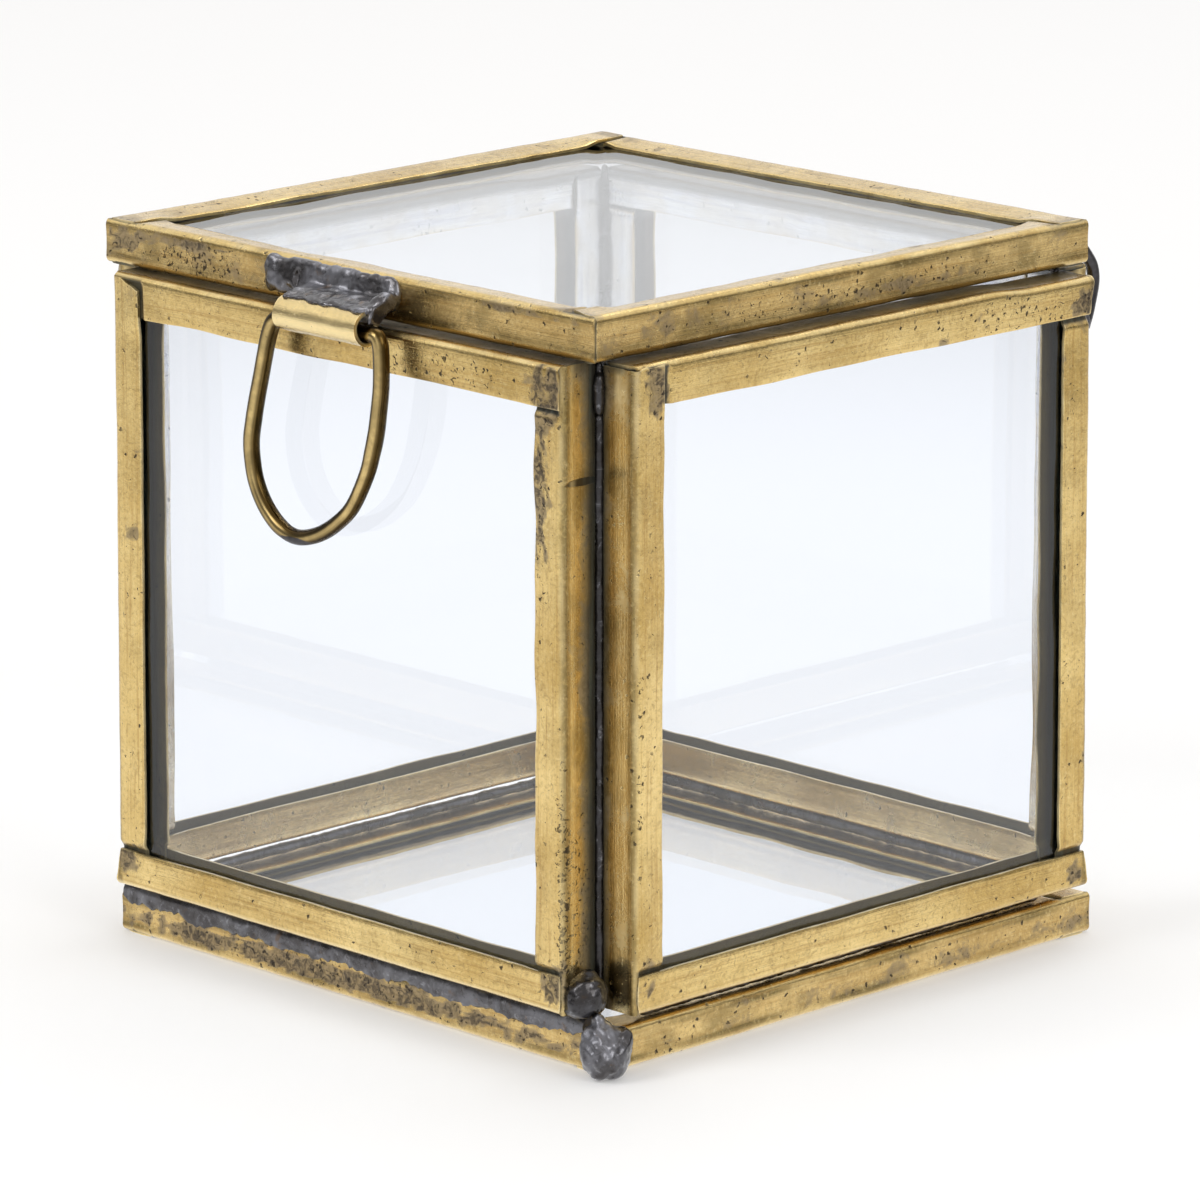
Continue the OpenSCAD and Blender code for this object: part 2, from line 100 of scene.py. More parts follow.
class Nodes:
    """Short calls for building one material's node tree."""

    def __init__(self, tree):
        self.tree = tree
        self.tree.nodes.clear()

    def add(self, kind, inputs=None, **settings):
        node = self.tree.nodes.new(kind)
        for key, value in settings.items():
            setattr(node, key, value)
        for key, value in (inputs or {}).items():
            self.put(node.inputs[key], value)
        return node

    def put(self, socket, value):
        if isinstance(value, bpy.types.NodeSocket):
            self.tree.links.new(value, socket)
        else:
            socket.default_value = value

    def math(self, operation, a, b=0.0):
        return self.add("ShaderNodeMath", {0: a, 1: b}, operation=operation).outputs[0]

    def plus(self, a, b):
        return self.math("ADD", a, b)

    def minus(self, a, b):
        return self.math("SUBTRACT", a, b)

    def times(self, a, b):
        return self.math("MULTIPLY", a, b)

    def most(self, a, b):
        return self.math("MAXIMUM", a, b)

    def about(self, noise, weight):
        """How far a noise is from its middle, times a weight."""
        return self.times(self.minus(noise, 0.5), weight)

    def total(self, start, *terms):
        """A value, and other values times their weights, added up."""
        for value, weight in terms:
            start = self.plus(start, self.times(value, weight))
        return start

    def vector(self, operation, a, b=(0.0, 0.0, 0.0)):
        node = self.add("ShaderNodeVectorMath", {0: a, 1: b}, operation=operation)
        return node.outputs["Value" if operation == "LENGTH" else "Vector"]

    def step(self, value, low, high, to_low=0.0, to_high=1.0):
        return self.add("ShaderNodeMapRange", {"Value": value, "From Min": low, "From Max": high,
                                               "To Min": to_low, "To Max": to_high},
                        interpolation_type="SMOOTHSTEP").outputs[0]

    def mix(self, factor, a, b):
        node = self.add("ShaderNodeMix", data_type="RGBA")
        self.put(node.inputs[0], factor)
        self.put(node.inputs[6], a)
        self.put(node.inputs[7], b)
        return node.outputs[2]

    def noise(self, vector, scale, detail=3.0, roughness=0.55, distortion=0.0):
        return self.add("ShaderNodeTexNoise", {"Vector": vector, "Scale": scale, "Detail": detail,
                                               "Roughness": roughness, "Distortion": distortion}).outputs["Fac"]

    def bump(self, height, strength, distance):
        return self.add("ShaderNodeBump", {"Strength": strength, "Distance": distance,
                                           "Height": height}).outputs[0]

    def place(self):
        return self.add("ShaderNodeTexCoord").outputs["Object"]

    def stretched(self, along, across):
        """Places along and across the strip or wire, for noise of these scales."""
        strip = self.add("ShaderNodeUVMap", uv_map="strip").outputs[0]
        return self.add("ShaderNodeMapping", {"Vector": strip, "Scale": (along, across, 1)}).outputs[0]

    def attribute(self, name):
        return self.add("ShaderNodeAttribute", attribute_type="GEOMETRY", attribute_name=name).outputs

    def parts(self, colour):
        return self.add("ShaderNodeSeparateColor", {"Color": colour}).outputs[:3]

    def blend(self, factor, a, b):
        return self.add("ShaderNodeMixShader", {0: factor, 1: a.outputs[0], 2: b.outputs[0]})

    def show(self, shader):
        self.add("ShaderNodeOutputMaterial", {"Surface": shader.outputs[0]})

    def seen(self):
        """1 for the rays that show the background: straight, mirrored or through glass."""
        path = self.add("ShaderNodeLightPath")
        both = self.most(path.outputs["Is Camera Ray"], path.outputs["Is Glossy Ray"])
        return self.most(both, path.outputs["Is Transmission Ray"])


def rgb(r, g, b):
    """A colour given as it shows on screen, 0 to 255, in linear light."""
    def linear(c):
        c /= 255.0
        return c / 12.92 if c <= 0.04045 else ((c + 0.055) / 1.055) ** 2.4

    return (linear(r), linear(g), linear(b), 1.0)


def new_material(name):
    material = bpy.data.materials.new(name)
    material.use_nodes = True
    return material, Nodes(material.node_tree)


def make_stage():
    world = bpy.data.worlds.new("studio")
    world.use_nodes = True
    bpy.context.scene.world = world
    n = Nodes(world.node_tree)
    soft = n.add("ShaderNodeBackground", {"Color": (1, 1, 1, 1), "Strength": ROOM_LIGHT})
    white = n.add("ShaderNodeBackground", {"Color": (1, 1, 1, 1), "Strength": 1.0})
    # Gloss mirrors a bright sky over two darker wings of the studio, left and right
    way = n.add("ShaderNodeSeparateXYZ", {"Vector": n.add("ShaderNodeTexCoord").outputs["Generated"]})
    wing = n.math("ABSOLUTE", n.plus(way.outputs[0], way.outputs[1]))
    wing = n.times(n.step(wing, 0.75, 1.2), n.step(way.outputs[2], 0.5, 0.2))
    level = n.minus(ROOM_LEVEL, n.times(wing, WING_DROP))
    room = n.add("ShaderNodeBackground", {"Color": (1, 1, 1, 1), "Strength": level})
    mixed = n.blend(n.seen(), soft, white)
    glossy = n.add("ShaderNodeLightPath").outputs["Is Glossy Ray"]
    mixed = n.blend(glossy, mixed, room)
    n.add("ShaderNodeOutputWorld", {"Surface": mixed.outputs[0]})

    material, n = new_material("floor")
    plain = n.add("ShaderNodeBsdfDiffuse", {"Color": (0.86, 0.85, 0.84, 1)})
    far = n.vector("LENGTH", n.place())
    glossy = n.add("ShaderNodeLightPath").outputs["Is Glossy Ray"]
    fade = n.times(glossy, n.step(far, 0.25, 0.8))
    level = n.total(n.step(far, 0.3, 1.8, FLOOR_NEAR, FLOOR_FAR), (fade, -0.7))
    lit = n.add("ShaderNodeEmission", {"Color": (1, 1, 1, 1), "Strength": level})
    share = n.total(0.0, (n.seen(), FLOOR_SEEN), (glossy, FLOOR_GLOSS))
    n.show(n.blend(share, plain, lit))
    mesh = bpy.data.meshes.new("floor")
    mesh.from_pydata([(-6, -6, 0), (6, -6, 0), (6, 6, 0), (-6, 6, 0)], [], [(0, 1, 2, 3)])
    mesh.materials.append(material)
    floor = bpy.data.objects.new("floor", mesh)
    bpy.context.scene.collection.objects.link(floor)
    floor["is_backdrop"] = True


def make_lamp(name, place, size, watts):
    data = bpy.data.lights.new(name, "AREA")
    data.shape = "DISK"
    data.size = size
    data.energy = watts
    lamp = bpy.data.objects.new(name, data)
    aim = Vector((0, 0, 0.05)) - Vector(place)
    lamp.matrix_world = Matrix.Translation(place) @ aim.to_track_quat("-Z", "Y").to_matrix().to_4x4()
    bpy.context.scene.collection.objects.link(lamp)


# ---- Materials ----

# How far the pits' outlines are bent, in metres
PIT_WARP = 0.0009
# A nick in the front wall's right stile: its place in metres, and one over its half sizes
NICK_AT, NICK_SCALE = (0.04325, -0.04604, 0.07803), (1500.0, 330.0, 1900.0)


def surface(n, height, strength, distance, **inputs):
    """A Principled shader, bumped by a height."""
    shader = n.add("ShaderNodeBsdfPrincipled")
    for key, value in inputs.items():
        n.put(shader.inputs[key.replace("_", " ")], value)
    n.put(shader.inputs["Normal"], n.bump(height, strength, distance))
    return shader


def brass_material():
    """Antique brass: streaks along the strip, pits, scratches and grey-brown smears. The mesh's paint says
    where: red is patina, green is a painted highlight, blue is painted shade inside folds, under laps and in
    hollows, alpha is a tinned skin with a painted pale reflection. Its zone is red on the strip's back, green where
    pits are thick and blue where painted olive shade runs by the folds."""
    material, n = new_material("antique_brass")
    place = n.place()
    paint = n.attribute("paint")
    tin_skin_and_sheen = paint["Alpha"]
    patina, painted_highlight, painted_shade = n.parts(paint["Color"])
    web, pitted, shade = n.parts(n.attribute("zone")["Color"])
    broad = n.noise(place, 60.0, 4.0)
    blotch = n.noise(place, 240.0, 5.0, 0.62, 0.5)
    swirl = n.noise(place, 700.0, 4.0, 0.6, 1.6)
    grain = n.noise(place, 1700.0, 5.0, 0.72)
    streak = n.noise(n.stretched(40.0, 1300.0), 1.0, 5.0, 0.65)
    brushed = n.noise(n.stretched(160.0, 8000.0), 1.0, 3.0, 0.6)

    tone = n.add("ShaderNodeMapRange", {"Value": broad, "From Min": 0.32, "From Max": 0.68}).outputs[0]
    flange = n.mix(tone, rgb(196, 164, 96), rgb(232, 204, 138))
    # The strip's back a little darker than its flanges: partly painted shade of its side-facing surface
    back = n.mix(tone, rgb(192, 160, 98), rgb(222, 192, 128))
    colour = n.mix(web, flange, back)
    olive = n.step(n.noise(place, 110.0, 3.0), 0.48, 0.66, 0.0, 0.5)
    olive = n.times(olive, n.total(0.3, (web, 0.8)))
    # Painted shade: an olive darkening along the web just inside the folds, where the zone says
    shaded = n.times(shade, n.step(swirl, 0.2, 0.55, 0.5, 1.0))
    colour = n.mix(n.most(olive, shaded), colour, rgb(108, 91, 48))
    for value, low, high, amount, tint in (
            (streak, 0.45, 0.72, 0.55, rgb(164, 126, 62)), (swirl, 0.5, 0.68, 0.35, rgb(150, 122, 70)),
            (grain, 0.52, 0.7, 0.36, rgb(122, 96, 52)), (grain, 0.47, 0.3, 0.28, rgb(246, 226, 172)),
            (brushed, 0.5, 0.8, 0.2, rgb(246, 228, 176))):
        colour = n.mix(n.step(value, low, high, 0.0, amount), colour, tint)

    aged = n.total(0.0, (patina, 0.85), (web, 0.1))
    spread = n.plus(n.plus(aged, n.about(blotch, 1.6)), n.about(grain, 0.6))
    brown = n.step(spread, 0.3, 0.75)
    smear = n.mix(n.step(grain, 0.35, 0.65), rgb(94, 80, 58), rgb(152, 134, 104))
    colour = n.mix(n.times(brown, 0.75), colour, smear)
    deep = n.step(n.plus(patina, n.about(swirl, 1.6)), 0.8, 1.15)
    colour = n.mix(n.times(deep, 0.8), colour, rgb(58, 48, 36))

    # Small dark pits: thick in some places, few elsewhere, and each of its own ragged shape
    thick = n.step(n.total(n.noise(place, 120.0, 3.0), (aged, 0.3)), 0.56, 0.8)
    thick = n.most(n.times(thick, 0.5), pitted)
    ragged = n.noise(place, 1500.0, 3.0, 0.6, 0.9)
    pit = n.step(n.total(ragged, (thick, 0.13)), 0.68, 0.72)
    warp = n.add("ShaderNodeTexNoise", {"Vector": place, "Scale": 1900.0, "Detail": 2.0}).outputs["Color"]
    shift = n.vector("MULTIPLY", n.vector("SUBTRACT", warp, (0.5,) * 3), (PIT_WARP,) * 3)
    cells = n.add("ShaderNodeTexVoronoi", {"Vector": n.vector("ADD", place, shift), "Scale": 1100.0,
                                           "Randomness": 1.0}).outputs
    chosen = n.step(n.total(n.parts(cells["Color"])[0], (thick, 0.25)), 0.955, 0.98)
    pit = n.most(pit, n.times(n.step(cells["Distance"], 0.36, 0.2), chosen))
    scratch = n.noise(n.stretched(420.0, 6000.0), 1.0, 2.0, 0.5, 0.6)
    scratch = n.times(n.step(scratch, 0.69, 0.75), n.step(blotch, 0.48, 0.6))
    pit = n.most(pit, n.times(scratch, 0.7))
    nick = n.vector("LENGTH", n.vector("MULTIPLY", n.vector("SUBTRACT", place, NICK_AT), NICK_SCALE))
    pit = n.most(pit, n.step(n.total(nick, (blotch, 0.5)), 1.35, 1.1))
    colour = n.mix(n.times(pit, 0.9), colour, rgb(44, 34, 22))

    # Painted highlight: pale gold on folds, lips, cut ends and bands
    colour = n.mix(n.times(painted_highlight, 0.8), colour, rgb(250, 228, 172))
    # The tinned skin's pale blue-white, which higher up the walls stands in as a painted reflection
    tin_and_sheen = n.mix(n.step(streak, 0.4, 0.7), rgb(248, 252, 255), rgb(216, 223, 240))
    colour = n.mix(n.times(tin_skin_and_sheen, n.step(blotch, 0.3, 0.7, 0.75, 1.0)), colour, tin_and_sheen)
    # Painted shade: near black inside folds, under laps and in hollows
    inside = n.mix(n.step(streak, 0.42, 0.68), rgb(18, 22, 18), rgb(50, 60, 54))
    colour = n.mix(painted_shade, colour, inside)

    rough = n.total(0.14, (blotch, 0.16), (brown, 0.18), (n.most(pit, painted_shade), 0.3))
    metal = n.step(n.total(0.0, (brown, 0.5), (painted_shade, 0.9)), 0.0, 1.0, 1.0, 0.4)
    height = n.total(0.0, (brushed, 0.2), (blotch, 0.5), (streak, 0.3), (swirl, 0.25), (grain, 0.25), (pit, -0.6))
    shader = surface(n, height, 0.8, 0.00015, Base_Color=colour, Metallic=metal, Roughness=rough,
                     Coat_Weight=0.2, Coat_Roughness=0.12)
    n.show(shader)
    return material


def wire_material():
    """Drawn brass wire. The paint is red where it is smeared with solder, and green where a painted highlight stripe
    runs down one side.
    """
    material, n = new_material("brass_wire")
    place = n.place()
    smear, highlight_stripe = n.parts(n.attribute("paint")["Color"])[:2]
    blotch = n.noise(place, 250.0, 5.0, 0.6, 0.3)
    grain = n.noise(place, 1900.0, 4.0, 0.65)
    drawn = n.noise(n.stretched(50.0, 4200.0), 1.0, 3.0)
    colour = n.mix(n.step(blotch, 0.35, 0.7), rgb(74, 57, 27), rgb(46, 35, 16))
    colour = n.mix(n.step(drawn, 0.5, 0.75, 0.0, 0.3), colour, rgb(186, 158, 98))
    # Painted highlight: a pale stripe down one side of the wire
    colour = n.mix(n.times(highlight_stripe, n.step(blotch, 0.25, 0.6, 0.9, 0.5)), colour, rgb(228, 200, 138))
    spots = n.times(n.step(grain, 0.63, 0.7), n.step(blotch, 0.5, 0.65))
    colour = n.mix(n.times(spots, 0.7), colour, rgb(60, 46, 28))
    grey = n.step(n.plus(smear, n.about(blotch, 0.9)), 0.4, 0.6)
    colour = n.mix(grey, colour, n.mix(grain, rgb(40, 38, 38), rgb(92, 90, 92)))
    rough = n.total(0.16, (blotch, 0.12))
    height = n.total(0.0, (drawn, 0.35), (blotch, 0.4))
    shader = surface(n, height, 0.35, 0.00005, Base_Color=colour, Metallic=1.0, Roughness=rough)
    n.show(shader)
    return material


def solder_material():
    """Blackened lead solder: a smooth skin with paler rubbed places, fine wrinkles, a few rusty spots, and
    soot and painted shade where the mesh says so."""
    material, n = new_material("blackened_solder")
    place = n.place()
    broad = n.noise(place, 200.0, 4.0, 0.6, 0.6)
    fine = n.noise(place, 900.0, 5.0, 0.7, 0.5)
    colour = n.mix(n.step(broad, 0.38, 0.66), rgb(76, 73, 74), rgb(128, 128, 134))
    colour = n.mix(n.step(fine, 0.54, 0.72, 0.0, 0.6), colour, rgb(160, 160, 166))
    colour = n.mix(n.step(fine, 0.46, 0.3, 0.0, 0.75), colour, rgb(38, 34, 33))
    rust = n.step(n.noise(place, 380.0, 4.0, 0.65), 0.58, 0.72, 0.0, 0.7)
    colour = n.mix(rust, colour, rgb(112, 86, 60))
    # Soot and painted shade, near black, as much as the mesh says
    soot_and_shade = n.times(n.attribute("soot_and_shade")["Fac"], n.step(fine, 0.72, 0.55, 0.3, 1.0))
    colour = n.mix(soot_and_shade, colour, rgb(30, 27, 26))
    rough = n.step(broad, 0.3, 0.7, 0.2, 0.42)
    height = n.total(0.0, (broad, 0.8), (fine, 0.25))
    shader = surface(n, height, 0.6, 0.00018, Base_Color=colour, Metallic=0.85, Roughness=rough,
                     Coat_Weight=0.3, Coat_Roughness=0.1)
    n.show(shader)
    return material


def glass_material():
    """Clear window glass, faintly blue-green through its thickness, with a slight ripple."""
    material, n = new_material("clear_glass")
    place = n.place()
    smudge = n.step(n.noise(place, 60.0, 4.0), 0.5, 0.8, 0.0, 0.03)
    shader = surface(n, n.noise(place, 16.0, 2.0), 0.08, 0.0004, Base_Color=(0.936, 0.946, 0.974, 1),
                     Roughness=smudge, IOR=1.5, Transmission_Weight=1.0)
    clear = n.add("ShaderNodeBsdfTransparent", {"Color": (0.975, 0.985, 0.99, 1)})
    shade = n.add("ShaderNodeLightPath").outputs["Is Shadow Ray"]
    mixed = n.blend(shade, shader, clear)
    tint = n.add("ShaderNodeVolumeAbsorption", {"Color": (0.25, 0.62, 0.8, 1), "Density": 6.0})
    n.add("ShaderNodeOutputMaterial", {"Surface": mixed.outputs[0], "Volume": tint.outputs[0]})
    return material


# ---- Meshes ----

WAVES = 12


def waves(points, size, seed):
    """A smooth random field of about unit height over points in mm, with features of the given size."""
    rng = np.random.default_rng(seed)
    ways = unit(rng.normal(size=(WAVES, points.shape[1])))
    ways *= 2 * math.pi / size * rng.uniform(0.6, 1.5, (WAVES, 1))
    return np.sin(points @ ways.T + rng.uniform(0, 2 * math.pi, WAVES)).sum(1) * math.sqrt(1.0 / WAVES)


def smooth(value, low, high):
    t = np.clip((value - low) / (high - low), 0, 1)
    return t * t * (3 - 2 * t)


def unit(rows):
    return rows / np.linalg.norm(rows, axis=1)[:, None]


def from_centre(points, centre, size):
    """How far points are from a centre, in half sizes."""
    return np.linalg.norm((points - np.array(centre)) / np.array(size), axis=1)


def and_back(row):
    """A row of values for a sheet's outside and, backwards, for its inside."""
    return np.concatenate([row, row[::-1]])


def outside_first(count):
    """True for the points of such a ring that are on the sheet's outside."""
    return np.arange(2 * count) < count


def run_along(line):
    """The way from a line's start to each of its points."""
    return np.concatenate([[0], np.cumsum(np.linalg.norm(np.diff(line, axis=0), axis=1))])


def make_piece(name, points, faces, material, body, nodes, strip=None, paint=None, zone=None, sharp=40.0,
               soot_and_shade=0.0):
    """A mesh from points in mm, which rides on a body and stands for the given CAD nodes."""
    mesh = bpy.data.meshes.new(name)
    mesh.from_pydata((np.asarray(points) * MM).tolist(), [], faces)
    mesh.polygons.foreach_set("use_smooth", np.ones(len(mesh.polygons), bool))
    mesh.set_sharp_from_angle(angle=math.radians(sharp))
    if strip is not None:
        corners = np.zeros(len(mesh.loops), np.int32)
        mesh.loops.foreach_get("vertex_index", corners)
        layer = mesh.uv_layers.new(name="strip")
        layer.data.foreach_set("uv", (np.asarray(strip) * MM)[corners].astype(np.float32).ravel())
    for layer_name, values in (("paint", paint), ("zone", zone)):
        if values is not None:
            colours = np.zeros((len(points), 4), np.float32)
            colours[:, :values.shape[1]] = np.clip(values, 0, 1)
            mesh.attributes.new(layer_name, "FLOAT_COLOR", "POINT").data.foreach_set("color", colours.ravel())
    if np.any(soot_and_shade):
        values = np.zeros(len(points), np.float32) + soot_and_shade
        mesh.attributes.new("soot_and_shade", "FLOAT", "POINT").data.foreach_set("value", values)
    mesh.materials.append(material)
    mesh.validate()
    piece = bpy.data.objects.new(name, mesh)
    bpy.context.scene.collection.objects.link(piece)
    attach(piece, body)
    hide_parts(*nodes)


def tube_faces(rings, around):
    """Quads between rings of points, each with the given count around; the ends stay open."""
    faces = []
    for i in range(rings - 1):
        for k in range(around):
            j = (k + 1) % around
            faces.append((i * around + k, i * around + j, (i + 1) * around + j, (i + 1) * around + k))
    return faces


def sheet_faces(rings, count):
    """Faces of a swept sheet: each ring has its outside's points in order, and then its inside's backwards."""
    around = 2 * count
    faces = tube_faces(rings, around)
    last = (rings - 1) * around
    for k in range(count - 1):
        j = around - 1 - k
        faces.append((k, j, j - 1, k + 1))
        faces.append((last + k, last + k + 1, last + j - 1, last + j))
    return faces


# ---- Folded channel ----

FLANGE_STEPS, FOLD_STEPS, WEB_STEPS = 6, 5, 10


def channel_profile():
    """The outside of the channel from lip to lip, for a channel of any width. Each row has its depth, its side
    (0 on the back), the inset from that side, the share of the back's half, and its outward normal."""
    rows = []
    steps = [FLANGE + (FOLD - FLANGE) * i / FLANGE_STEPS for i in range(1, FLANGE_STEPS)]
    for depth in [FLANGE, FLANGE - 0.2] + steps:
        rows.append((depth, -1.0, 0.0, 0.0, 0.0, -1.0))
    for i in range(FOLD_STEPS + 1):
        turn = math.pi / 2 * i / FOLD_STEPS
        rows.append((FOLD - FOLD * math.sin(turn), -1.0, FOLD - FOLD * math.cos(turn), 0.0,
                     -math.sin(turn), -math.cos(turn)))
    mirrored = [(depth, 1.0, inset, 0.0, out, -aside) for depth, _, inset, _, out, aside in rows[::-1]]
    for i in range(1, WEB_STEPS):
        share = -1 + 2 * i / WEB_STEPS
        rows.append((0.3 * DISH * (1 - share * share), 0.0, 0.0, share, -1.0, 0.0))
    return np.array(rows + mirrored)


DEPTH, SIDE, INSET, SHARE, OUT_DEPTH, OUT_ASIDE = channel_profile().T


# The ends of a strip: over another one, under it, behind its back, with a back that closes the corner, with
# such a back cut round at its corners, or behind a back and cut at a slant
OVER, UNDER, BUTT, WRAP, TUCK, SLANT = range(6)
FIRST = {OVER: -0.3, UNDER: SHEET + DISH + FIT, BUTT: SHEET + 0.03, WRAP: 0.04, TUCK: 0.04, SLANT: SHEET + 0.03}
BENEATH = (UNDER, WRAP, TUCK)
# How far the lips are pressed in towards the glass
LID_PRESS, PRESS = 0.55, 0.26


def came_stations(length, start, end):
    """Places along the strip, closer together at its ends, laps and steps."""
    def near_end(kind):
        first = FIRST[kind]
        if kind in BENEATH:
            return [first, first + 0.15, first + 0.4, first + 0.8, 2.0, 3.5, LAP_L - 0.4, LAP_L, LAP_L + 0.25,
                    LAP_L + 0.5, LAP_L + 0.75, LAP_L + STEP_L, LAP_L + STEP_L + 0.4, 8.2]
        return [first, first + 0.12, first + 0.3, first + 0.6, first + 1.0, first + 1.5, 2.4, 3.1, 3.8, 4.6, 5.5,
                6.6, 7.8]

    near, far = near_end(start), [length - x for x in near_end(end)][::-1]
    count = int((far[0] - near[-1]) / 1.2)
    middle = list(np.linspace(near[-1], far[0], count + 1))[1:-1]
    return np.array(near + middle + far)


def came_shape(length, width, start, end, press, seed):
    """The points of a strip in one ring for each station, the path across it, and how far each kind of end is
    cut back over that path. Its back is at depth 0, and its width lies about z = 0."""
    x = came_stations(length, start, end)
    count = len(DEPTH)
    half0 = width / 2

    # How far each point is let down to pass under another strip
    low = np.zeros((len(x), count))
    for dist, kind in ((x, start), (length - x, end)):
        if kind in BENEATH:
            part = np.ones(count) if kind == UNDER else smooth(DEPTH, 0.5, 1.3)
            low += (1 - smooth(dist, LAP_L - 0.1, LAP_L + STEP_L + 0.1))[:, None] * part
    half = half0 - low * (LAP_STEP + 0.03)
    z = SIDE * (half - INSET) + SHARE * (half - FOLD)
    along = np.repeat(x[:, None], count, 1)

    # The path across the strip, measured over the fold from the middle of its back
    flat = np.stack([DEPTH, SIDE * (half0 - INSET) + SHARE * (half0 - FOLD)], 1)
    across = run_along(flat)
    across -= across[-1] / 2

    # Over-lapping ends are snipped back towards the lip, and a little ragged
    ragged = waves(np.stack([across, np.zeros(count)], 1), 3.0, seed + 1)
    lip = np.clip((DEPTH - FOLD) / (FLANGE - FOLD), 0, 1)
    beyond = 0.3 * smooth(DEPTH, 0.8, 1.2)
    corner = 0.5 * smooth(np.abs(flat[:, 1]), half0 - 1.5, half0 - 0.5) * smooth(DEPTH, 1.0, 0.3)
    snips = {OVER: END_CUT * lip, BUTT: 0.2 * lip - beyond, UNDER: 0 * lip, WRAP: 0.75 * smooth(DEPTH, 0.3, 1.0),
             TUCK: 0.75 * smooth(DEPTH, 0.3, 1.0) + corner, SLANT: 1.4 * lip - beyond}
    for dist, kind, way in ((x, start, 1), (length - x, end, -1)):
        dist = dist - FIRST[kind]
        fade = np.clip(1 - dist / 3.0, 0, 1)[:, None] ** 1.5
        along += way * fade * snips[kind]
        if kind not in BENEATH:
            near = np.clip(1 - dist / 0.7, 0, 1)[:, None]
            along += way * near * (0.09 + 0.09 * ragged)

    # Hand-made unevenness, always inwards: the outer faces sit a little inside their true size
    cloud = np.stack([along.ravel(), np.tile(across, len(x))], 1)
    wave = 0.03 * waves(cloud, 22.0, seed + 2) + 0.018 * waves(cloud, 6.0, seed + 3)
    inward = np.clip(0.05 - wave, 0.0, 0.12).reshape(along.shape)
    near_end = np.minimum(x, length - x)
    inward *= smooth(near_end, 0.0, 2.5)[:, None] * 0.8 + 0.2
    inward += 0.02 * low
    d_out = DEPTH - inward * OUT_DEPTH
    z_out = z - inward * OUT_ASIDE
    edge = waves(np.stack([along.ravel(), np.sign(z).ravel() * 40], 1), 18.0, seed + 4).reshape(along.shape)
    d_out -= lip * (0.08 + 0.07 * edge)
    # Away from the laps the lips are pressed in towards the glass
    z_out -= SIDE * (smooth(near_end, 5.0, 8.5)[:, None] * lip ** 1.3 * (press + 0.06 * edge))

    outer = np.stack([along, d_out, z_out], 2)
    inner = np.stack([along, d_out - OUT_DEPTH * SHEET, z_out - OUT_ASIDE * SHEET], 2)
    # A small round on the lips' outer corners
    outer[:, 0, 2] += 0.08
    outer[:, -1, 2] -= 0.08
    return np.concatenate([outer, inner[:, ::-1]], 1), across, snips


def came_piece(name, matrix, length, width, start, end, body, material, seed, move=None):
    """One strip of folded channel, placed by a matrix, moved a little if a function says so, and painted."""
    loop, across, snips = came_shape(length, width, start, end, LID_PRESS if body == "lid" else PRESS, seed)
    local = loop.reshape(-1, 3)
    world = (np.c_[local, np.ones(len(local))] @ np.array(matrix).T)[:, :3]
    if move is not None:
        world = move(world)

    # Paint: from the place along and across the strip, then from the place in the box
    along = loop[:, :, 0]
    ends = []
    for dist, kind in ((along, start), (length - along, end)):
        ends.append((dist, kind, FIRST[kind] + and_back(snips[kind])))
    cells, paint, zone = came_paint(along, across, width / 2, ends, seed)
    shift = np.random.default_rng(seed).uniform(0, 400, 2)
    for column, layer, spots in ((0, paint, PATCHES), (1, zone, PITS)):
        for centre, size, share in spots:
            gap = from_centre(world, centre, size)
            gap += 0.25 * waves(world, 2.2, 900) + 0.15 * waves(world, 0.9, 901)
            layer[:, column] += share * smooth(gap, 1.15, 0.75)
    if body == "lid":
        height = world[:, 2]
        # Painted shade on the lid's underside, over the gap
        paint[:, 2] = np.maximum(paint[:, 2], 0.85 * smooth(height, LID_Z + 0.22, LID_Z + 0.04))
        paint[:, 0] += 0.36 * smooth(height, BOX - 0.7, BOX - 0.3)
    elif name[:4] != "base":
        paint_wall(name, world, np.tile(outside_first(len(across)), len(loop)), paint, zone)
    make_piece(name + "_strip", world, sheet_faces(len(loop), len(across)), material, body, [name],
               cells + shift, paint, zone, 32.0)


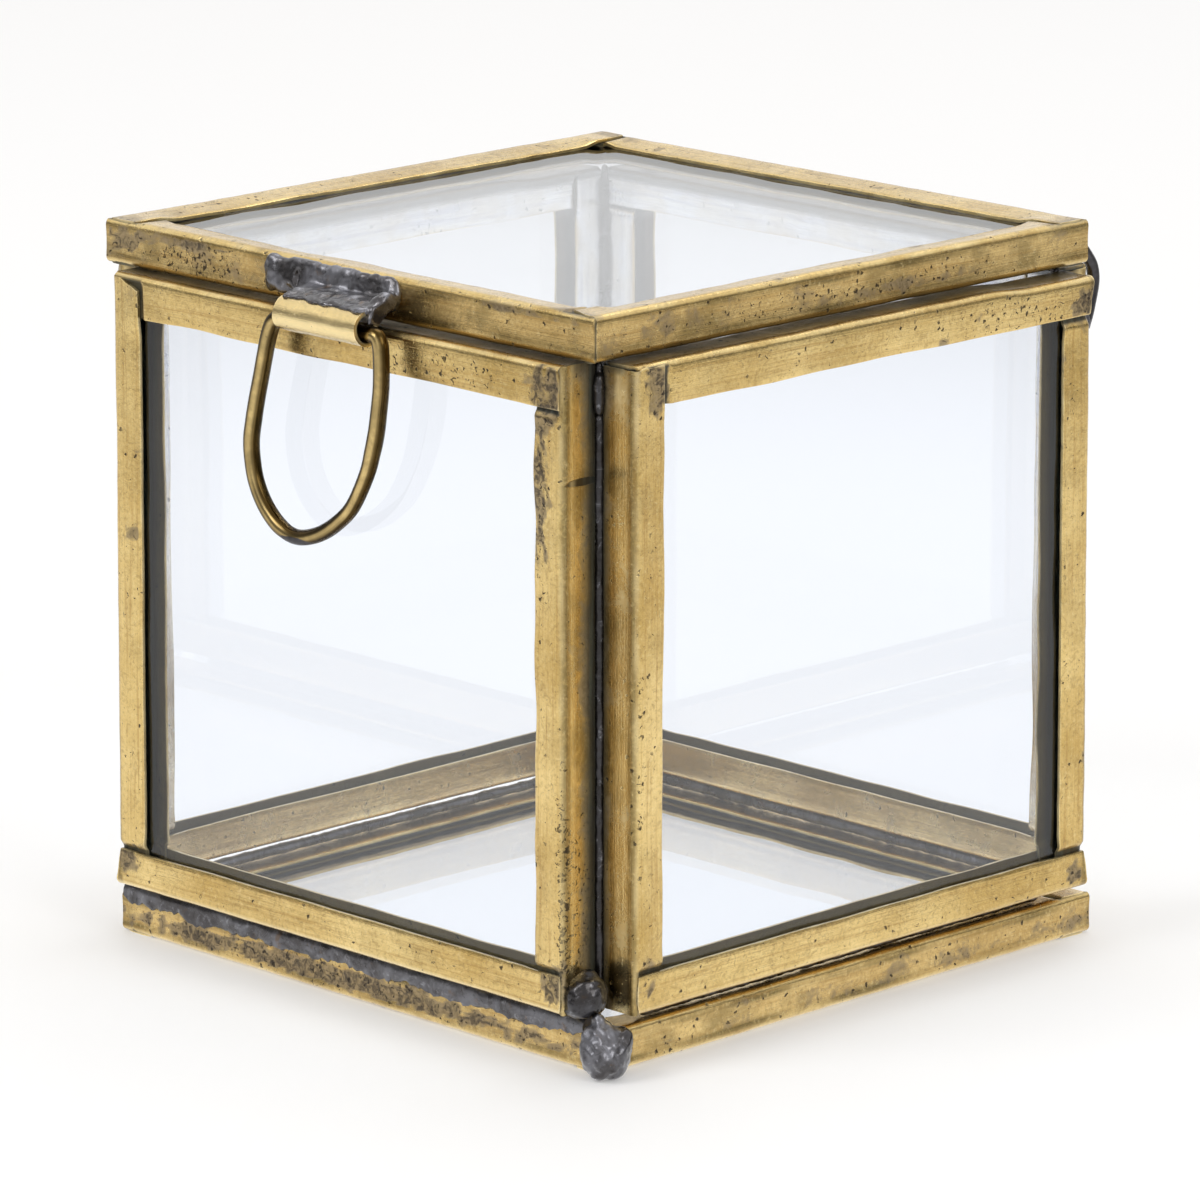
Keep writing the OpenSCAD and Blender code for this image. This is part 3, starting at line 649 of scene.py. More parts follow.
def came_paint(along, across, half0, ends, seed):
    """Places along and across a strip, and the paint and zone that follow from them: how far each point is
    from the ends, and on which side and fold of the channel it lies."""
    is_out = outside_first(len(across))
    width_at = and_back(across)
    fold_at = half0 - FOLD + FOLD * math.pi / 4
    on_web = smooth(np.abs(width_at), half0 - FOLD + 0.9, half0 - FOLD - 0.6)
    cells = np.stack([along.ravel(), np.tile(width_at, len(along))], 1)

    def field(size, salt):
        return waves(cells, size, seed + salt).reshape(along.shape)

    patina = np.zeros(along.shape)
    painted_shade = np.zeros(along.shape)
    lip_at = half0 - FOLD + FOLD * math.pi / 2 + FLANGE - FOLD
    # Painted highlight along the outer folds and on the lips
    fold = np.exp(-((np.abs(width_at) - fold_at) / 0.4) ** 2)
    painted_highlight = 0.5 * fold * (0.6 + 0.5 * field(9.0, 8))
    lip = smooth(np.abs(width_at), lip_at - 0.2, lip_at)
    painted_highlight = np.maximum(painted_highlight, 0.6 * lip * (0.7 + 0.5 * field(5.0, 9)))
    # Painted olive shade along the web, just inside the folds
    shade = np.exp(-((np.abs(width_at) - (half0 - FOLD - 0.25)) / 0.55) ** 2) * (0.6 + 0.5 * field(16.0, 10))
    for (dist, kind, edge_at), salt in zip(ends, (5, 6)):
        reach = 6.0 + 2.0 * field(7.0, salt)
        if kind in BENEATH:
            hidden = smooth(np.abs(width_at), half0 - 0.4, half0 + 0.3)
            patina += (0.6 * hidden + 0.1) * smooth(dist, reach + 2.5, 5.0)
            # Painted shade where the strip runs under another
            painted_shade = np.maximum(painted_shade, 0.9 * hidden * smooth(dist, LAP_L + 0.6, LAP_L + 0.25))
        else:
            patina += 0.5 * (1 - 0.7 * on_web) * smooth(dist, reach * 0.8, 0.8)
            # Painted highlight on the cut end
            painted_highlight = np.maximum(painted_highlight, 0.9 * smooth(dist - edge_at, 0.25, 0.08))
    # More patina on the strip's back, partly painted shade of its side-facing surface
    patina += 0.26 * on_web * (0.6 + 0.7 * field(14.0, 7))
    # Painted shade over the whole inside of the channel, a little lighter towards the lips
    painted_shade = np.where(is_out, painted_shade, 1.0 - 0.3 * smooth(and_back(DEPTH), 2.6, 4.6))
    none = np.zeros(along.size)
    paint = np.stack([patina.ravel(), painted_highlight.ravel(), painted_shade.ravel(), none], 1)
    zone = np.stack([np.tile(np.where(is_out, on_web, 0.0), len(along)), none, shade.ravel()], 1)
    return cells, paint, zone


def paint_wall(name, world, outside, paint, zone):
    """What the walls' strips show by their place in the box: `rim` is the way in from the nearest outer side,
    and `far` from the next one."""
    near_x, near_y, wz = BOX / 2 - np.abs(world[:, 0]), BOX / 2 - np.abs(world[:, 1]), world[:, 2]
    rim, far = np.minimum(near_x, near_y), np.maximum(near_x, near_y)

    # Painted shade: the open corner grooves darken and brown towards their seams
    groove = smooth(far, 5.9, 6.4) * smooth(far, 7.4, 6.9)
    groove = groove * smooth(wz, WALL_Z - 0.5, WALL_Z + 0.3) * outside
    right_side = (near_y > near_x) & (world[:, 0] > 0) & (world[:, 1] < 0)
    start = np.where(right_side, 4.6, 2.9)
    paint[:, 2] = np.maximum(paint[:, 2], 0.95 * groove * smooth(rim, start, np.where(right_side, 6.4, 5.6)))
    paint[:, 0] += 0.35 * groove * smooth(rim, start - 0.4, start + 1.2)
    # Painted highlight: a pale band across the groove's webs, brighter on the right wall's side of the front corner
    highlight_stripe = np.where(right_side, 1.0, 0.75) * groove * smooth(rim, start, start - 1.2) * smooth(rim, 1.2, 2.2)
    paint[:, 1] = np.maximum(paint[:, 1], highlight_stripe)
    # Painted olive shade just inside the folds
    zone[:, 2] = np.maximum(zone[:, 2], 0.85 * groove * smooth(rim, 1.9, 1.0))

    # The sides towards the room inside: a dull tinned skin, browner near the foot, and, rising towards the top, a
    # painted pale reflection
    within = smooth(rim, 6.2, 6.45) * outside
    tin_and_sheen = smooth(far, 6.2, 6.45) * within * smooth(wz, 10.0, 80.0)
    paint[:, 3] = 0.12 * within + 0.4 * within * smooth(wz, 13.5, 15.5) + 0.4 * tin_and_sheen
    paint[:, 0] += 0.3 * within * smooth(wz, 15.0, 13.0)

    # Painted shade: the tops of the walls are darkened under the lid, more so further in
    top = wz + 0.5 * smooth(world[:, 1], 24.0, 32.0)
    paint[:, 2] = np.maximum(paint[:, 2], 0.7 * smooth(top, 91.9, 92.5) * smooth(rim, 1.1, 3.0))
    # Painted highlight along the front bottom rail's lower fold
    if name == "front_bottom_rail":
        paint[:, 1] = np.maximum(paint[:, 1], 0.9 * outside * smooth(wz, WALL_Z + 1.1, WALL_Z + 0.3))


# Grey-brown smears, mostly at the laps: centre, half sizes and strength
PATCHES = [
    ((40.2, -50, 89.5), (3.4, 1.5, 3.6), 0.9), ((39.4, -50, 77.5), (1.7, 1.2, 10.0), 0.95),
    ((50, -39.8, 90.0), (1.5, 2.6, 3.4), 0.8), ((41.8, -50, 12.0), (2.6, 1.2, 2.6), 0.85),
    ((50, 41.5, 90.0), (1.5, 2.2, 2.2), 0.85), ((50, 41.0, 10.5), (1.5, 1.3, 1.7), 0.95),
    ((-41.5, -50, 12.0), (2.2, 1.3, 1.6), 0.9), ((50, -40.6, 11.0), (1.3, 0.5, 1.2), 1.1),
    ((45.6, -50, 30.0), (0.9, 2.0, 12.0), 0.6), ((-43.5, -47.3, 97.6), (3.2, 1.2, 1.6), 0.6),
    ((-34.0, -47.3, 98.6), (9.0, 1.2, 0.9), 0.7), ((33.0, -47.3, 99.0), (12.0, 1.2, 0.7), 0.5),
    ((-4.0, -46.8, 2.6), (42.0, 1.2, 1.5), 0.85), ((47.4, 0.0, 2.3), (1.2, 40.0, 1.2), 0.22),
    ((46.4, 10.0, 96.0), (1.2, 16.0, 0.8), 0.45), ((46.4, -36.0, 96.2), (1.2, 3.0, 2.0), 0.5),
]

# Places with many pits, likewise
PITS = [
    ((-29.0, -47.3, 96.2), (8.5, 1.2, 2.0), 1.0), ((44.0, -50, 28.0), (2.2, 1.5, 15.0), 0.9),
    ((43.3, -47.5, 22.0), (1.0, 3.0, 14.0), 0.7), ((39.0, -50, 75.0), (2.0, 1.2, 12.0), 0.6),
    ((46.4, 0.0, 96.6), (1.2, 30.0, 1.6), 0.55), ((50, 30.0, 90.0), (1.2, 12.0, 3.0), 0.5),
    ((50, -46.0, 45.0), (2.0, 4.0, 30.0), 0.5), ((-10.0, -47.0, 2.5), (36.0, 1.2, 2.0), 0.7),
    ((20.0, -50, 90.0), (14.0, 1.2, 2.4), 0.6), ((50, -47.0, 16.0), (6.8, 3.0, 6.0), 0.7),
]


def panel_matrices(w, h):
    turned = Matrix.Rotation
    return {
        "bottom": Matrix.Translation((-w / 2, 0, 0)),
        "right": Matrix.Translation((w / 2, 0, 0)) @ turned(math.pi / 2, 4, "Z"),
        "top": Matrix.Translation((w / 2, h, 0)) @ turned(math.pi, 4, "Z"),
        "left": Matrix.Translation((-w / 2, h, 0)) @ turned(-math.pi / 2, 4, "Z"),
    }


def wall_matrix(turn):
    return (Matrix.Rotation(math.pi / 2 * turn, 4, "Z")
            @ Matrix.Translation((0, WALL_T / 2 - BOX / 2, WALL_Z))
            @ Matrix.Rotation(math.pi / 2, 4, "X"))


def settle(wall):
    """The front wall's left side and the right wall's right side lean out a little towards the foot, and
    the walls' tops rise a little, but not under the back of the lid, which swings down there."""
    axis, way = (0, -1) if wall == "front" else (1, 1)

    def move(points):
        points = points.copy()
        points[:, 2] += 0.5 * smooth(points[:, 2], 90.4, 92.3) * smooth(points[:, 1], 32.0, 24.0)
        if wall in ("front", "right"):
            side = smooth(way * points[:, axis], 20.0, 42.0)
            points[:, axis] += way * 0.5 * side * smooth(points[:, 2], 82.0, 10.0)
        return points

    return move


def make_cames(material):
    seed = 100
    sides = panel_matrices(WALL_W, WALL_H)
    laps = {"bottom": ("bottom_rail", BUTT, BUTT), "right": ("right_stile", WRAP, WRAP),
            "top": ("top_rail", BUTT, TUCK), "left": ("left_stile", BUTT, WRAP)}
    outer_corners = {"front_bottom_rail": (OVER, BUTT), "front_left_stile": (SLANT, UNDER),
                     "right_bottom_rail": (BUTT, OVER), "right_right_stile": (UNDER, UNDER),
                     "right_top_rail": (OVER, TUCK)}
    for turn, wall in enumerate(("front", "right", "back", "left")):
        for side, (piece, start, end) in laps.items():
            name = f"{wall}_{piece}"
            start, end = outer_corners.get(name, (start, end))
            length = WALL_W if side in ("bottom", "top") else WALL_H
            came_piece(name, wall_matrix(turn) @ sides[side], length, WALL_T, start, end, "box", material, seed,
                       settle(wall))
            seed += 20
    flat = {"bottom": ("front", WRAP, WRAP), "right": ("right", BUTT, WRAP),
            "top": ("back", BUTT, WRAP), "left": ("left", BUTT, BUTT)}
    at_base = Matrix.Translation((BASE_SHIFT, BASE_SHIFT - BASE_W / 2, BASE_T / 2))
    at_lid = Matrix.Translation((LID_SHIFT, LID_FRONT, LID_Z + LID_T / 2))
    for part, body, place, size, width in (("base", "box", at_base, BASE_W, BASE_T),
                                           ("lid", "lid", at_lid, LID_W, LID_T)):
        sides = panel_matrices(size, size)
        for side, (piece, start, end) in flat.items():
            if part == "lid" and piece == "right":
                start = SLANT
            came_piece(f"{part}_{piece}_came", place @ sides[side], size, width, start, end, body, material, seed)
            seed += 20


# ---- Round wire ----

# The pull's outline from inside the sleeve, round and back into it: x, and height over its axis
RING_LINE = [
    (1.9, 0.0), (-2.5, 0.0), (-5.4, 0.0), (-6.7, -0.25), (-7.9, -1.1), (-8.8, -3.0), (-9.6, -5.8), (-10.4, -8.8),
    (-11.2, -11.7), (-11.9, -14.7), (-12.4, -17.6), (-12.2, -20.4), (-11.5, -23.1), (-9.9, -25.8), (-7.5, -28.0),
    (-4.8, -29.1), (-2.1, -29.0), (1.3, -27.8), (4.6, -25.7), (7.3, -23.1), (9.9, -18.6), (11.0, -15.5),
    (11.8, -12.6), (12.3, -9.7), (12.7, -6.9), (12.8, -4.1), (12.7, -1.5), (12.2, -0.15), (11.2, 0.12),
    (9.9, 0.05), (7.6, 0.0), (5.2, 0.0), (2.2, 0.0),
]
# A hinge leg from its foot up: y and z
HINGE_LEG = [(50.95, 83.7), (51.7, 85.5), (52.2, 87.2), (52.7, 89.2), (52.75, 90.6), (52.4, 92.0), (51.6, 93.2),
             (50.4, 94.6), (49.3, 95.7)]
# The side on which the wire carries a painted highlight stripe
HIGHLIGHT_WAY = (0.3, -0.95, 0.0)


def curve_through(points, step):
    """Evenly spaced points on a smooth curve through the given points."""
    points = np.asarray(points, float)
    padded = np.vstack([2 * points[0] - points[1], points, 2 * points[-1] - points[-2]])
    fine = []
    for i in range(len(points) - 1):
        a, b, c, d = padded[i:i + 4]
        for t in np.linspace(0, 1, 24, endpoint=False):
            fine.append(0.5 * (2 * b + (c - a) * t + (2 * a - 5 * b + 4 * c - d) * t ** 2
                               + (3 * b - a - 3 * c + d) * t ** 3))
    fine = np.array(fine + [points[-1]])
    run = run_along(fine)
    at = np.linspace(0, run[-1], int(run[-1] / step) + 2)
    return np.stack([np.interp(at, run, fine[:, k]) for k in range(3)], 1), at


def swept(line, radii, across, around):
    """Rings of points about a line, with the radius of each point."""
    way = unit(np.gradient(line, axis=0))
    side = unit(np.cross(way, across))
    up = np.cross(side, way)
    turn = 2 * math.pi * np.arange(around) / around
    rim = (np.cos(turn)[None, :, None] * side[:, None] + np.sin(turn)[None, :, None] * up[:, None])
    return line[:, None] + rim * radii[:, :, None]


def wire_piece(name, line, along, radii, across, material, body, node, smear):
    """A round wire with closed ends. `smear` says how much solder is on each point."""
    count, around = radii.shape
    rings = swept(line, radii, across, around)
    points = np.vstack([rings.reshape(-1, 3), line[:1], line[-1:]])
    faces = tube_faces(count, around)
    for k in range(around):
        j = (k + 1) % around
        faces.append((count * around, j, k))
        faces.append((count * around + 1, (count - 1) * around + k, (count - 1) * around + j))
    strip = np.zeros((len(points), 2))
    strip[:-2, 0] = np.repeat(along, around)
    strip[:-2, 1] = np.tile(np.abs(np.arange(around) - around / 2) * 2 * math.pi * radii.mean() / around, count)
    paint = np.zeros((len(points), 3))
    paint[:, 0] = smear(points)
    outward = unit((rings - line[:, None]).reshape(-1, 3))
    # Painted highlight: a stripe down the side the wire faces most
    paint[:-2, 1] = smooth(outward @ np.array(HIGHLIGHT_WAY), 0.82, 0.99)
    make_piece(name, points, faces, material, body, [node], strip, paint, None, 60.0)


def make_ring(material):
    line, along = curve_through([(x, SLEEVE_Y, RING_Z + dz) for x, dz in RING_LINE], 0.4)
    radii = RING_R - 0.03 + 0.02 * waves(np.c_[along, along * 0], 16.0, 7)[:, None] * np.ones((1, 24))
    # It turns freely in the sleeve
    radii -= 0.07 * smooth(np.abs(line[:, 0] - SLEEVE_X), SLEEVE_L / 2 + 1.5, SLEEVE_L / 2)[:, None]

    def smear(points):
        return 0.9 * smooth(from_centre(points, (-3.5, SLEEVE_Y - 0.6, RING_Z - 29.9), (4.6, 2.4, 1.1)), 1.3, 0.4)

    wire_piece("ring_wire", line, along, radii, (0.0, 1.0, 0.0), material, "ring", "pull_ring", smear)


def make_hinge(wire, brass):
    left = [(-LEG_X, y, z) for y, z in HINGE_LEG]
    right = [(LEG_X, y, z) for y, z in HINGE_LEG[::-1]]
    middle = [(x, AXIS_Y, AXIS_Z) for x in (0.7 - LEG_X, 3 - LEG_X, -20, 20, LEG_X - 3, LEG_X - 0.7)]
    line, along = curve_through(left + middle + right, 0.5)

    def smear(points):
        return 0.9 * smooth(points[:, 2], 95.5, 93.5)

    wire_piece("hinge_wire", line, along, np.full((len(line), 20), PIN_R - 0.02), (0.0, 0.7071, 0.7071), wire, "box",
               "hinge_pin", smear)

    around, count = 28, 90
    turn = 2 * math.pi * np.arange(around) / around
    points = []
    for r in (TUBE_R - 0.02, PIN_R + 0.08):
        for px in np.linspace(-TUBE_END, TUBE_END, count):
            points += [(px, AXIS_Y + r * math.cos(t), AXIS_Z + r * math.sin(t)) for t in turn]
    points = np.array(points)
    shift, last = count * around, (count - 1) * around
    faces = tube_faces(count, around)
    faces += [tuple(shift + i for i in face[::-1]) for face in faces]
    for k in range(around):
        j = (k + 1) % around
        faces.append((j, k, shift + k, shift + j))
        faces.append((last + k, last + j, shift + last + j, shift + last + k))
    strip = np.stack([points[:, 0] + 300, np.tile(np.abs(np.arange(around) - around / 2) * 0.36, 2 * count)], 1)
    paint = np.zeros((len(points), 3))
    paint[:, 0] = 0.35 + 0.35 * waves(points, 9.0, 41)
    # Painted shade inside the barrel
    paint[shift:, 2] = 0.9
    make_piece("hinge_tube_barrel", points, faces, brass, "lid", ["hinge_tube"], strip, paint,
               np.tile((1.0, 0.0, 0.3), (len(points), 1)), 50.0)


# ---- Solder ----

def lump(name, balls, body, nodes, material, voxel=0.3, rough=0.12, seed=0, keep=None,
         soften_by=6, soot_and_shade=0.0):
    """Solder run together from balls (centre, radii), in mm."""
    points, faces = [], []
    for centre, radii in balls:
        start = len(points)
        rows, around = 9, 14
        for i in range(rows + 1):
            tilt = math.pi * i / rows
            for k in range(around):
                turn = 2 * math.pi * k / around
                way = (math.sin(tilt) * math.cos(turn), math.sin(tilt) * math.sin(turn), math.cos(tilt))
                points.append([centre[a] + radii[a] * way[a] for a in range(3)])
        for i in range(rows):
            for k in range(around):
                j = (k + 1) % around
                faces.append((start + i * around + k, start + (i + 1) * around + k,
                              start + (i + 1) * around + j, start + i * around + j))
    mesh = bpy.data.meshes.new(name + "_raw")
    mesh.from_pydata((np.array(points) * MM).tolist(), [], faces)
    raw = bpy.data.objects.new(name + "_raw", mesh)
    bpy.context.scene.collection.objects.link(raw)
    remesh = raw.modifiers.new("run", "REMESH")
    remesh.mode = "VOXEL"
    remesh.voxel_size = voxel * MM
    soften = raw.modifiers.new("soften", "SMOOTH")
    soften.factor, soften.iterations = 0.6, soften_by
    graph = bpy.context.evaluated_depsgraph_get()
    done = bpy.data.meshes.new_from_object(raw.evaluated_get(graph))
    bpy.data.objects.remove(raw)
    count = len(done.vertices)
    co, normal = np.zeros(count * 3), np.zeros(count * 3)
    done.vertices.foreach_get("co", co)
    done.vertex_normals.foreach_get("vector", normal)
    co, normal = co.reshape(-1, 3) / MM, normal.reshape(-1, 3)
    swell = rough * (waves(co, 3.2, seed) + 0.5 * waves(co, 1.3, seed + 1))
    co += normal * swell[:, None]
    if keep is not None:
        co = keep(co)
    faces = [tuple(p.vertices) for p in done.polygons]
    bpy.data.meshes.remove(done)
    make_piece(name, co, faces, material, body, nodes, sharp=80.0, soot_and_shade=soot_and_shade)


def bead_run(start, end, radii, gap, seed, wobble):
    """Balls along a straight run, of uneven size."""
    start, end = np.array(start, float), np.array(end, float)
    count = max(2, int(np.linalg.norm(end - start) / gap))
    rng = np.random.default_rng(seed)
    balls = []
    for i in range(count + 1):
        size = 1 + wobble * rng.uniform(-1, 1)
        balls.append((start + (end - start) * i / count, [r * size for r in radii]))
    return balls


def make_front_bead(material):
    """The bead under the front wall: a smooth fillet that fills the gap and hangs over the base's edge."""
    half = BASE_W / 2
    y = BASE_SHIFT - half
    x = np.linspace(BASE_SHIFT - half + 0.4, half - 3.2, 190)
    line = np.stack([x, 0 * x], 1)
    low = 1.5 + 0.35 * waves(line, 9.0, 82) + 0.16 * waves(line, 1.9, 83) + 0.07 * waves(line, 0.8, 84)
    swell = 0.3 + 0.12 * waves(line, 7.0, 85)
    end = np.minimum(smooth(x, x[0] - 0.2, x[0] + 1.6), smooth(x, x[-1] + 0.2, x[-1] - 1.6))
    low, swell = low * (0.35 + 0.65 * end), np.clip(swell, 0.12, 0.55) * (0.3 + 0.7 * end)
    top = WALL_Z - 0.04 - (1 - end) * 0.5
    zero = 0 * x
    rows = [(y + 3.2, top), (y + 1.6, top), (y + 0.75, top - 0.12), (y + 0.25 - 0.3 * swell, top - 0.5),
            (y - 0.6 * swell, top - 1.1), (y - swell, BASE_T + 0.1), (y - swell, BASE_T - 0.45 * low),
            (y - 0.75 * swell, BASE_T - 0.8 * low), (y - 0.1 + zero, BASE_T - low), (y + 0.2, BASE_T - low + 0.05),
            (y + 0.45, BASE_T - 0.3), (y + 1.2, BASE_T + 0.05), (y + 3.2, BASE_T + 0.04)]
    rings = np.array([np.stack([x, py + zero, pz + zero], 1) for py, pz in rows]).transpose(1, 0, 2)
    cloud = rings.reshape(-1, 3)
    rings[:, 2:9, 1] += (0.05 * waves(cloud, 1.6, 86)).reshape(rings.shape[:2])[:, 2:9]
    around = len(rows)
    faces = tube_faces(len(x), around)
    faces += [tuple(range(around))[::-1], tuple((len(x) - 1) * around + k for k in range(around))]
    # Painted shade: the bead darkens towards its top, under the wall
    soot_and_shade = 0.25 + 0.7 * smooth(rings[:, :, 2].ravel(), BASE_T + 0.3, WALL_Z - 0.6)
    make_piece("front_base_bead_run", rings.reshape(-1, 3), faces, material, "box",
               ["front_base_bead"], sharp=70.0, soot_and_shade=soot_and_shade)


def make_seams(material):
    """Solder down the open corner grooves, with some small drops near the top."""
    inner = BOX / 2 - WALL_T
    corners = {"front_left": (-1, -1), "front_right": (1, -1), "back_right": (1, 1), "back_left": (-1, 1)}
    for i, (name, (sx, sy)) in enumerate(corners.items()):
        at = (sx * (inner - 0.12), sy * (inner - 0.12))
        balls = bead_run((*at, WALL_Z + 0.5), (*at, WALL_Z + WALL_H - 0.6), (0.7, 0.7, 1.2), 0.9, 60 + i, 0.1)
        for up, size in ((-2.2, 0.8), (-3.4, 1.0), (-4.5, 0.95), (-5.5, 0.7)):
            drop = (sx * (inner + 0.45), sy * (inner + 0.45), WALL_Z + WALL_H + up)
            balls.append((drop, (0.9 * size, 0.9 * size, 1.1)))
        # Painted shade and soot make the seams near black deep in their grooves
        lump(name + "_seam_run", balls, "box", [name + "_seam"], material, 0.22, 0.05, 70 + i, None, 5, 0.85)


def make_base_beads(material):
    """The beads under the other three walls; the left one is a little lower."""
    half = WALL_W / 2 - FLANGE - 0.5
    for i, (side, (sx, sy)) in enumerate({"right": (1, 0), "back": (0, 1), "left": (-1, 0)}.items()):
        out = (BASE_W / 2 - 2.0) * np.array((sx, sy)) + BASE_SHIFT
        out = np.abs(np.array((sx, sy))) * out
        a, b = out + np.array((-sy * half, -sx * half)), out + np.array((sy * half, sx * half))
        high = 0.75 if side == "left" else 0.96
        low = BASE_T + high - 0.05
        balls = bead_run((*a, low), (*b, low), (1.0, 1.0, high), 1.0, 90 + i, 0.06)
        for at in (a, b):
            balls.append(((*at, BASE_T + BASE_GAP / 2), (1.1, 1.1, 0.96)))
        lump(side + "_base_bead_run", balls, "box", [side + "_base_bead"], material, 0.3, 0.04, 94 + i, None, 6, 0.4)


def make_drops(material):
    """The two large drops at the foot of the front corner."""
    cx, cy = BASE_SHIFT + BASE_W / 2, BASE_SHIFT - BASE_W / 2
    balls = [((cx + 0.7, cy - 0.1, 3.4), (3.4, 3.4, 3.4)), ((cx + 0.2, cy - 0.3, 5.3), (2.6, 2.5, 2.3)),
             ((cx + 1.6, cy + 1.3, 4.6), (2.0, 2.0, 2.4)), ((cx - 0.9, cy - 1.6, 3.6), (1.3, 1.3, 2.3)),
             ((cx - 0.4, cy - 0.5, 7.4), (0.9, 0.8, 1.2)), ((cx + 1.2, cy - 1.4, 2.4), (1.9, 1.8, 2.3))]

    def stand(co):
        return np.c_[co[:, :2], np.maximum(co[:, 2], 0.02)]

    lump("base_corner_drop_run", balls, "box", ["base_corner_drop"], material, 0.25, 0.15, 101, stand, 4, 0.3)
    gx, gy, gz = BOX / 2 - WALL_T, WALL_T - BOX / 2, WALL_Z
    balls = [((gx + 1.0, gy - 3.35, gz + 2.5), (2.95, 2.9, 3.0)), ((gx + 1.3, gy - 4.3, gz + 1.5), (2.3, 2.2, 1.7)),
             ((gx + 0.3, gy - 5.0, gz + 0.9), (2.0, 1.3, 1.2)), ((gx + 1.0, gy - 2.9, gz + 4.8), (1.3, 1.3, 1.2))]
    lump("wall_corner_drop_run", balls, "box", ["wall_corner_drop"], material, 0.25, 0.1, 104, None, 4, 0.75)


def make_pool(material):
    """The pool that holds the sleeve on the lid's front edge."""
    front = LID_FRONT
    balls = []
    for px in np.linspace(-13.2, 9.2, 30):
        wave = 0.1 * math.sin(px * 0.8 + 1)
        balls.append(((px, front - 0.1, 97.85 + wave), (1.7, 0.9, 2.1)))
        balls.append(((px, front - 0.35, 96.5 + wave), (1.7, 0.9, 1.5)))
    for px in np.linspace(-4.6, 9.4, 26):
        wave = 0.4 * math.sin(px * 0.9) + 0.25 * math.sin(px * 2.1 + 1)
        balls.append(((px, -49.7, 96.42), (1.4, 2.6, 0.8)))
        balls.append(((px, -51.7 - 0.6 * wave, 96.2), (1.1, 2.1, 0.62)))
    balls += [((-13.4, front - 0.45, 97.7), (1.5, 0.8, 2.15)), ((-13.7, front - 0.3, 96.0), (1.3, 0.8, 1.4)),
              ((10.2, -49.6, 96.9), (1.5, 2.2, 1.4)), ((10.8, -51.3, 96.0), (1.25, 1.5, 1.3)),
              ((11.0, -52.2, 95.0), (0.95, 1.1, 1.1))]

    def keep(co):
        co = co.copy()
        co[:, 1] = np.minimum(co[:, 1], front + 0.35)
        co[:, 2] = np.minimum(co[:, 2], 99.9)
        # The pull's wire turns clear of the lobe at the sleeve's right end
        over = np.maximum(co[:, 0] - 10.5, 0.0)
        co[:, 0] += 0.85 * np.tanh(over / 0.85) - over
        away = co[:, 1:] - (SLEEVE_Y, RING_Z)
        reach = np.linalg.norm(away, axis=1)
        near = (co[:, 0] > 10.25) & (reach < 1.35)
        co[near, 1:] += away[near] * (1.35 / reach[near] - 1)[:, None]
        # A slit and some small dents in the skin
        face = smooth(co[:, 1], front - 0.4, front - 0.9)
        slit = from_centre(co[:, [0, 2]], (-8.0, 97.3), (0.55, 1.5))
        co[:, 1] += 0.55 * smooth(slit, 1.2, 0.4) * face
        for dx, dz, size in ((-9.6, 95.9, 0.6), (-3.0, 97.0, 0.8), (2.0, 96.9, 0.7), (4.5, 97.2, 0.5)):
            dent = from_centre(co[:, [0, 2]], (dx, dz), (1.4 * size, size))
            co[:, 1] += 0.22 * smooth(dent, 1.2, 0.3) * face
        return co

    lump("handle_solder_pool", balls, "lid", ["handle_solder"], material, 0.24, 0.09, 112, keep, 10, 0.1)


def make_hinge_solder(material):
    x, y = TUBE_END - FLANGE, LID_BACK + 0.3
    balls = bead_run((-x, y, AXIS_Z), (x, y, AXIS_Z), (1.4, 0.75, 1.2), 1.5, 121, 0.15)
    lump("hinge_solder_run", balls, "lid", ["hinge_solder"], material, 0.32, 0.06, 122)

    def outside(co):
        return np.c_[co[:, 0], np.maximum(co[:, 1], BOX / 2), co[:, 2]]

    for name, way in (("pin_solder_left", -1), ("pin_solder_right", 1)):
        foot = way * LEG_X
        balls = [((foot, 50.5, 84.6), (1.5, 0.8, 1.6)), ((foot + 0.3, 50.4, 85.6), (1.1, 0.6, 1.3)),
                 ((foot - 0.4, 50.5, 83.7), (1.1, 0.7, 1.0))]
        lump(name + "_run", balls, "box", [name], material, 0.22, 0.08, 124 + way, outside)


# ---- Sleeve ----

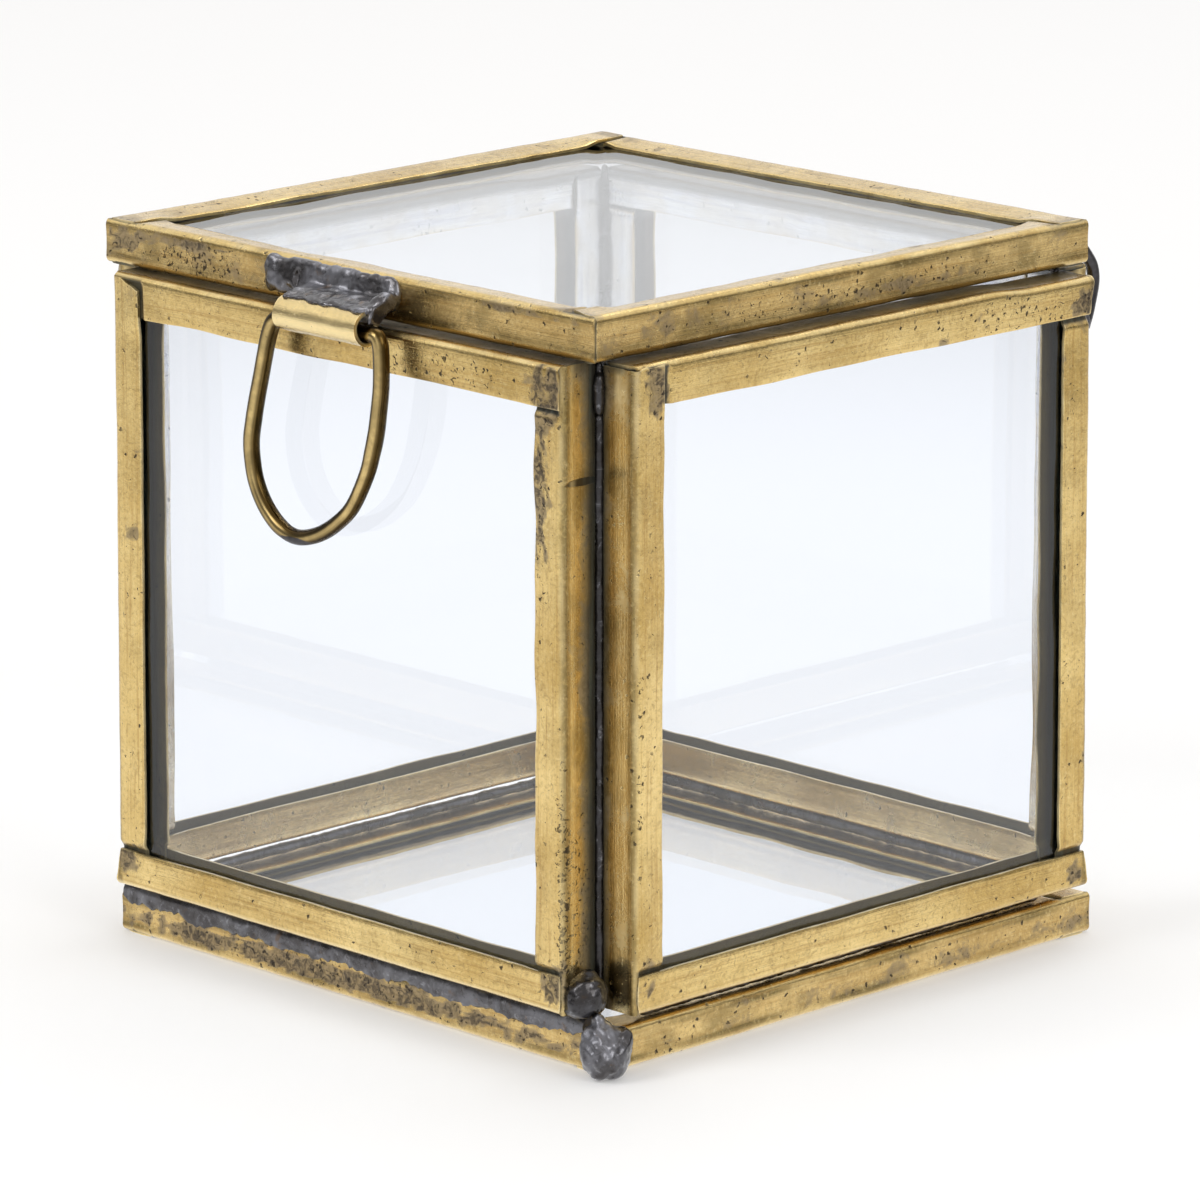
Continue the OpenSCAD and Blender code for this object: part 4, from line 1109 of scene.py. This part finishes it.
def make_sleeve(material):
    """The strip: up the lid's edge, forward, and round in a roll that stays open at its lower back."""
    roll = SLEEVE_R - 0.02
    outline = [(LID_FRONT - 0.03, LID_Z + LID_T - FOLD - 0.1), (LID_FRONT - 0.03, SLEEVE_Z + SLEEVE_R + 0.3),
               (LID_FRONT - 0.3, SLEEVE_Z + roll), (SLEEVE_Y + 0.6, SLEEVE_Z + roll)]
    for turn in np.radians(np.linspace(90, 90 + 203, 34)):
        outline.append((SLEEVE_Y + roll * math.cos(turn), SLEEVE_Z + roll * math.sin(turn)))
    line = np.array(outline)
    way = unit(np.gradient(line, axis=0))
    inside = np.stack([-way[:, 1], way[:, 0]], 1)
    count = len(line)
    x = np.concatenate([[0, 0.1, 0.3], np.linspace(0.8, SLEEVE_L - 0.8, 30),
                        [SLEEVE_L - 0.3, SLEEVE_L - 0.1, SLEEVE_L]])
    run = run_along(line)
    left = SLEEVE_X - SLEEVE_L / 2
    outer, inner = [], []
    for px in x:
        cells = np.stack([np.full(count, px), run], 1)
        dent = (0.04 + 0.03 * waves(cells, 6.0, 31))[:, None]
        curl = 0.06 * waves(cells, 5.0, 33) * (min(px, SLEEVE_L - px) < 0.2)
        outer.append(np.c_[left + px + curl, line + inside * dent])
        inner.append(np.c_[left + px + curl, line + inside * (dent + SHEET)])
    points = np.concatenate([np.array(outer), np.array(inner)[:, ::-1]], 1).reshape(-1, 3)
    strip = np.stack([points[:, 0] + 750, np.tile(and_back(run), len(x)) + 300], 1)
    paint = np.zeros((len(points), 3))
    paint[:, 0] = 0.1 * waves(points, 5.0, 35) - 0.1
    # Painted highlight: a band along the roll's front, and on its cut ends
    ends = np.minimum(np.abs(points[:, 0] - left), np.abs(points[:, 0] - (left + SLEEVE_L)))
    turned = np.arctan2(points[:, 2] - SLEEVE_Z, SLEEVE_Y - points[:, 1])
    highlight_band = np.exp(-((turned + 0.1) / 0.5) ** 2) * (points[:, 1] < SLEEVE_Y)
    paint[:, 1] = np.maximum(0.9 * smooth(ends, 0.35, 0.1), 0.55 + 0.45 * highlight_band)
    # Painted shade on the roll's inside
    paint[np.tile(~outside_first(count), len(x)), 2] = 0.7
    make_piece("handle_sleeve_roll", points, sheet_faces(len(x), count), material, "lid",
               ["handle_sleeve"], strip, paint, np.tile((0.1, 0.0, 0.0), (len(points), 1)), 40.0)


# ---- The scene ----

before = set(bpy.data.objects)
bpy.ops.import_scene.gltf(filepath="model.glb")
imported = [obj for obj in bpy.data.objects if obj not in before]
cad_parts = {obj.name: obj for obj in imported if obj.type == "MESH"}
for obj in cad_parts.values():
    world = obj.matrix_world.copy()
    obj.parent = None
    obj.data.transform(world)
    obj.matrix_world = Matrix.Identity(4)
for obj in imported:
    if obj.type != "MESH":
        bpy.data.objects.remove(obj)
packed_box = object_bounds()
make_camera()
make_stage()
for lamp in LAMPS:
    make_lamp(*lamp)

brass, wire, solder, glass = brass_material(), wire_material(), solder_material(), glass_material()
for pane in ("base", "front", "right", "back", "left", "lid"):
    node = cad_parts[pane + "_glass"]
    for place in node.material_slots:
        place.material = glass
make_cames(brass)
make_ring(wire)
make_hinge(wire, brass)
make_sleeve(brass)
make_seams(solder)
make_front_bead(solder)
make_base_beads(solder)
make_drops(solder)
make_pool(solder)
make_hinge_solder(solder)

bpy.context.scene.view_settings.view_transform = "Standard"


def plain(box):
    return [[float(c) for c in corner] for corner in box]


{"cad": plain(packed_box), "visual": plain(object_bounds())}
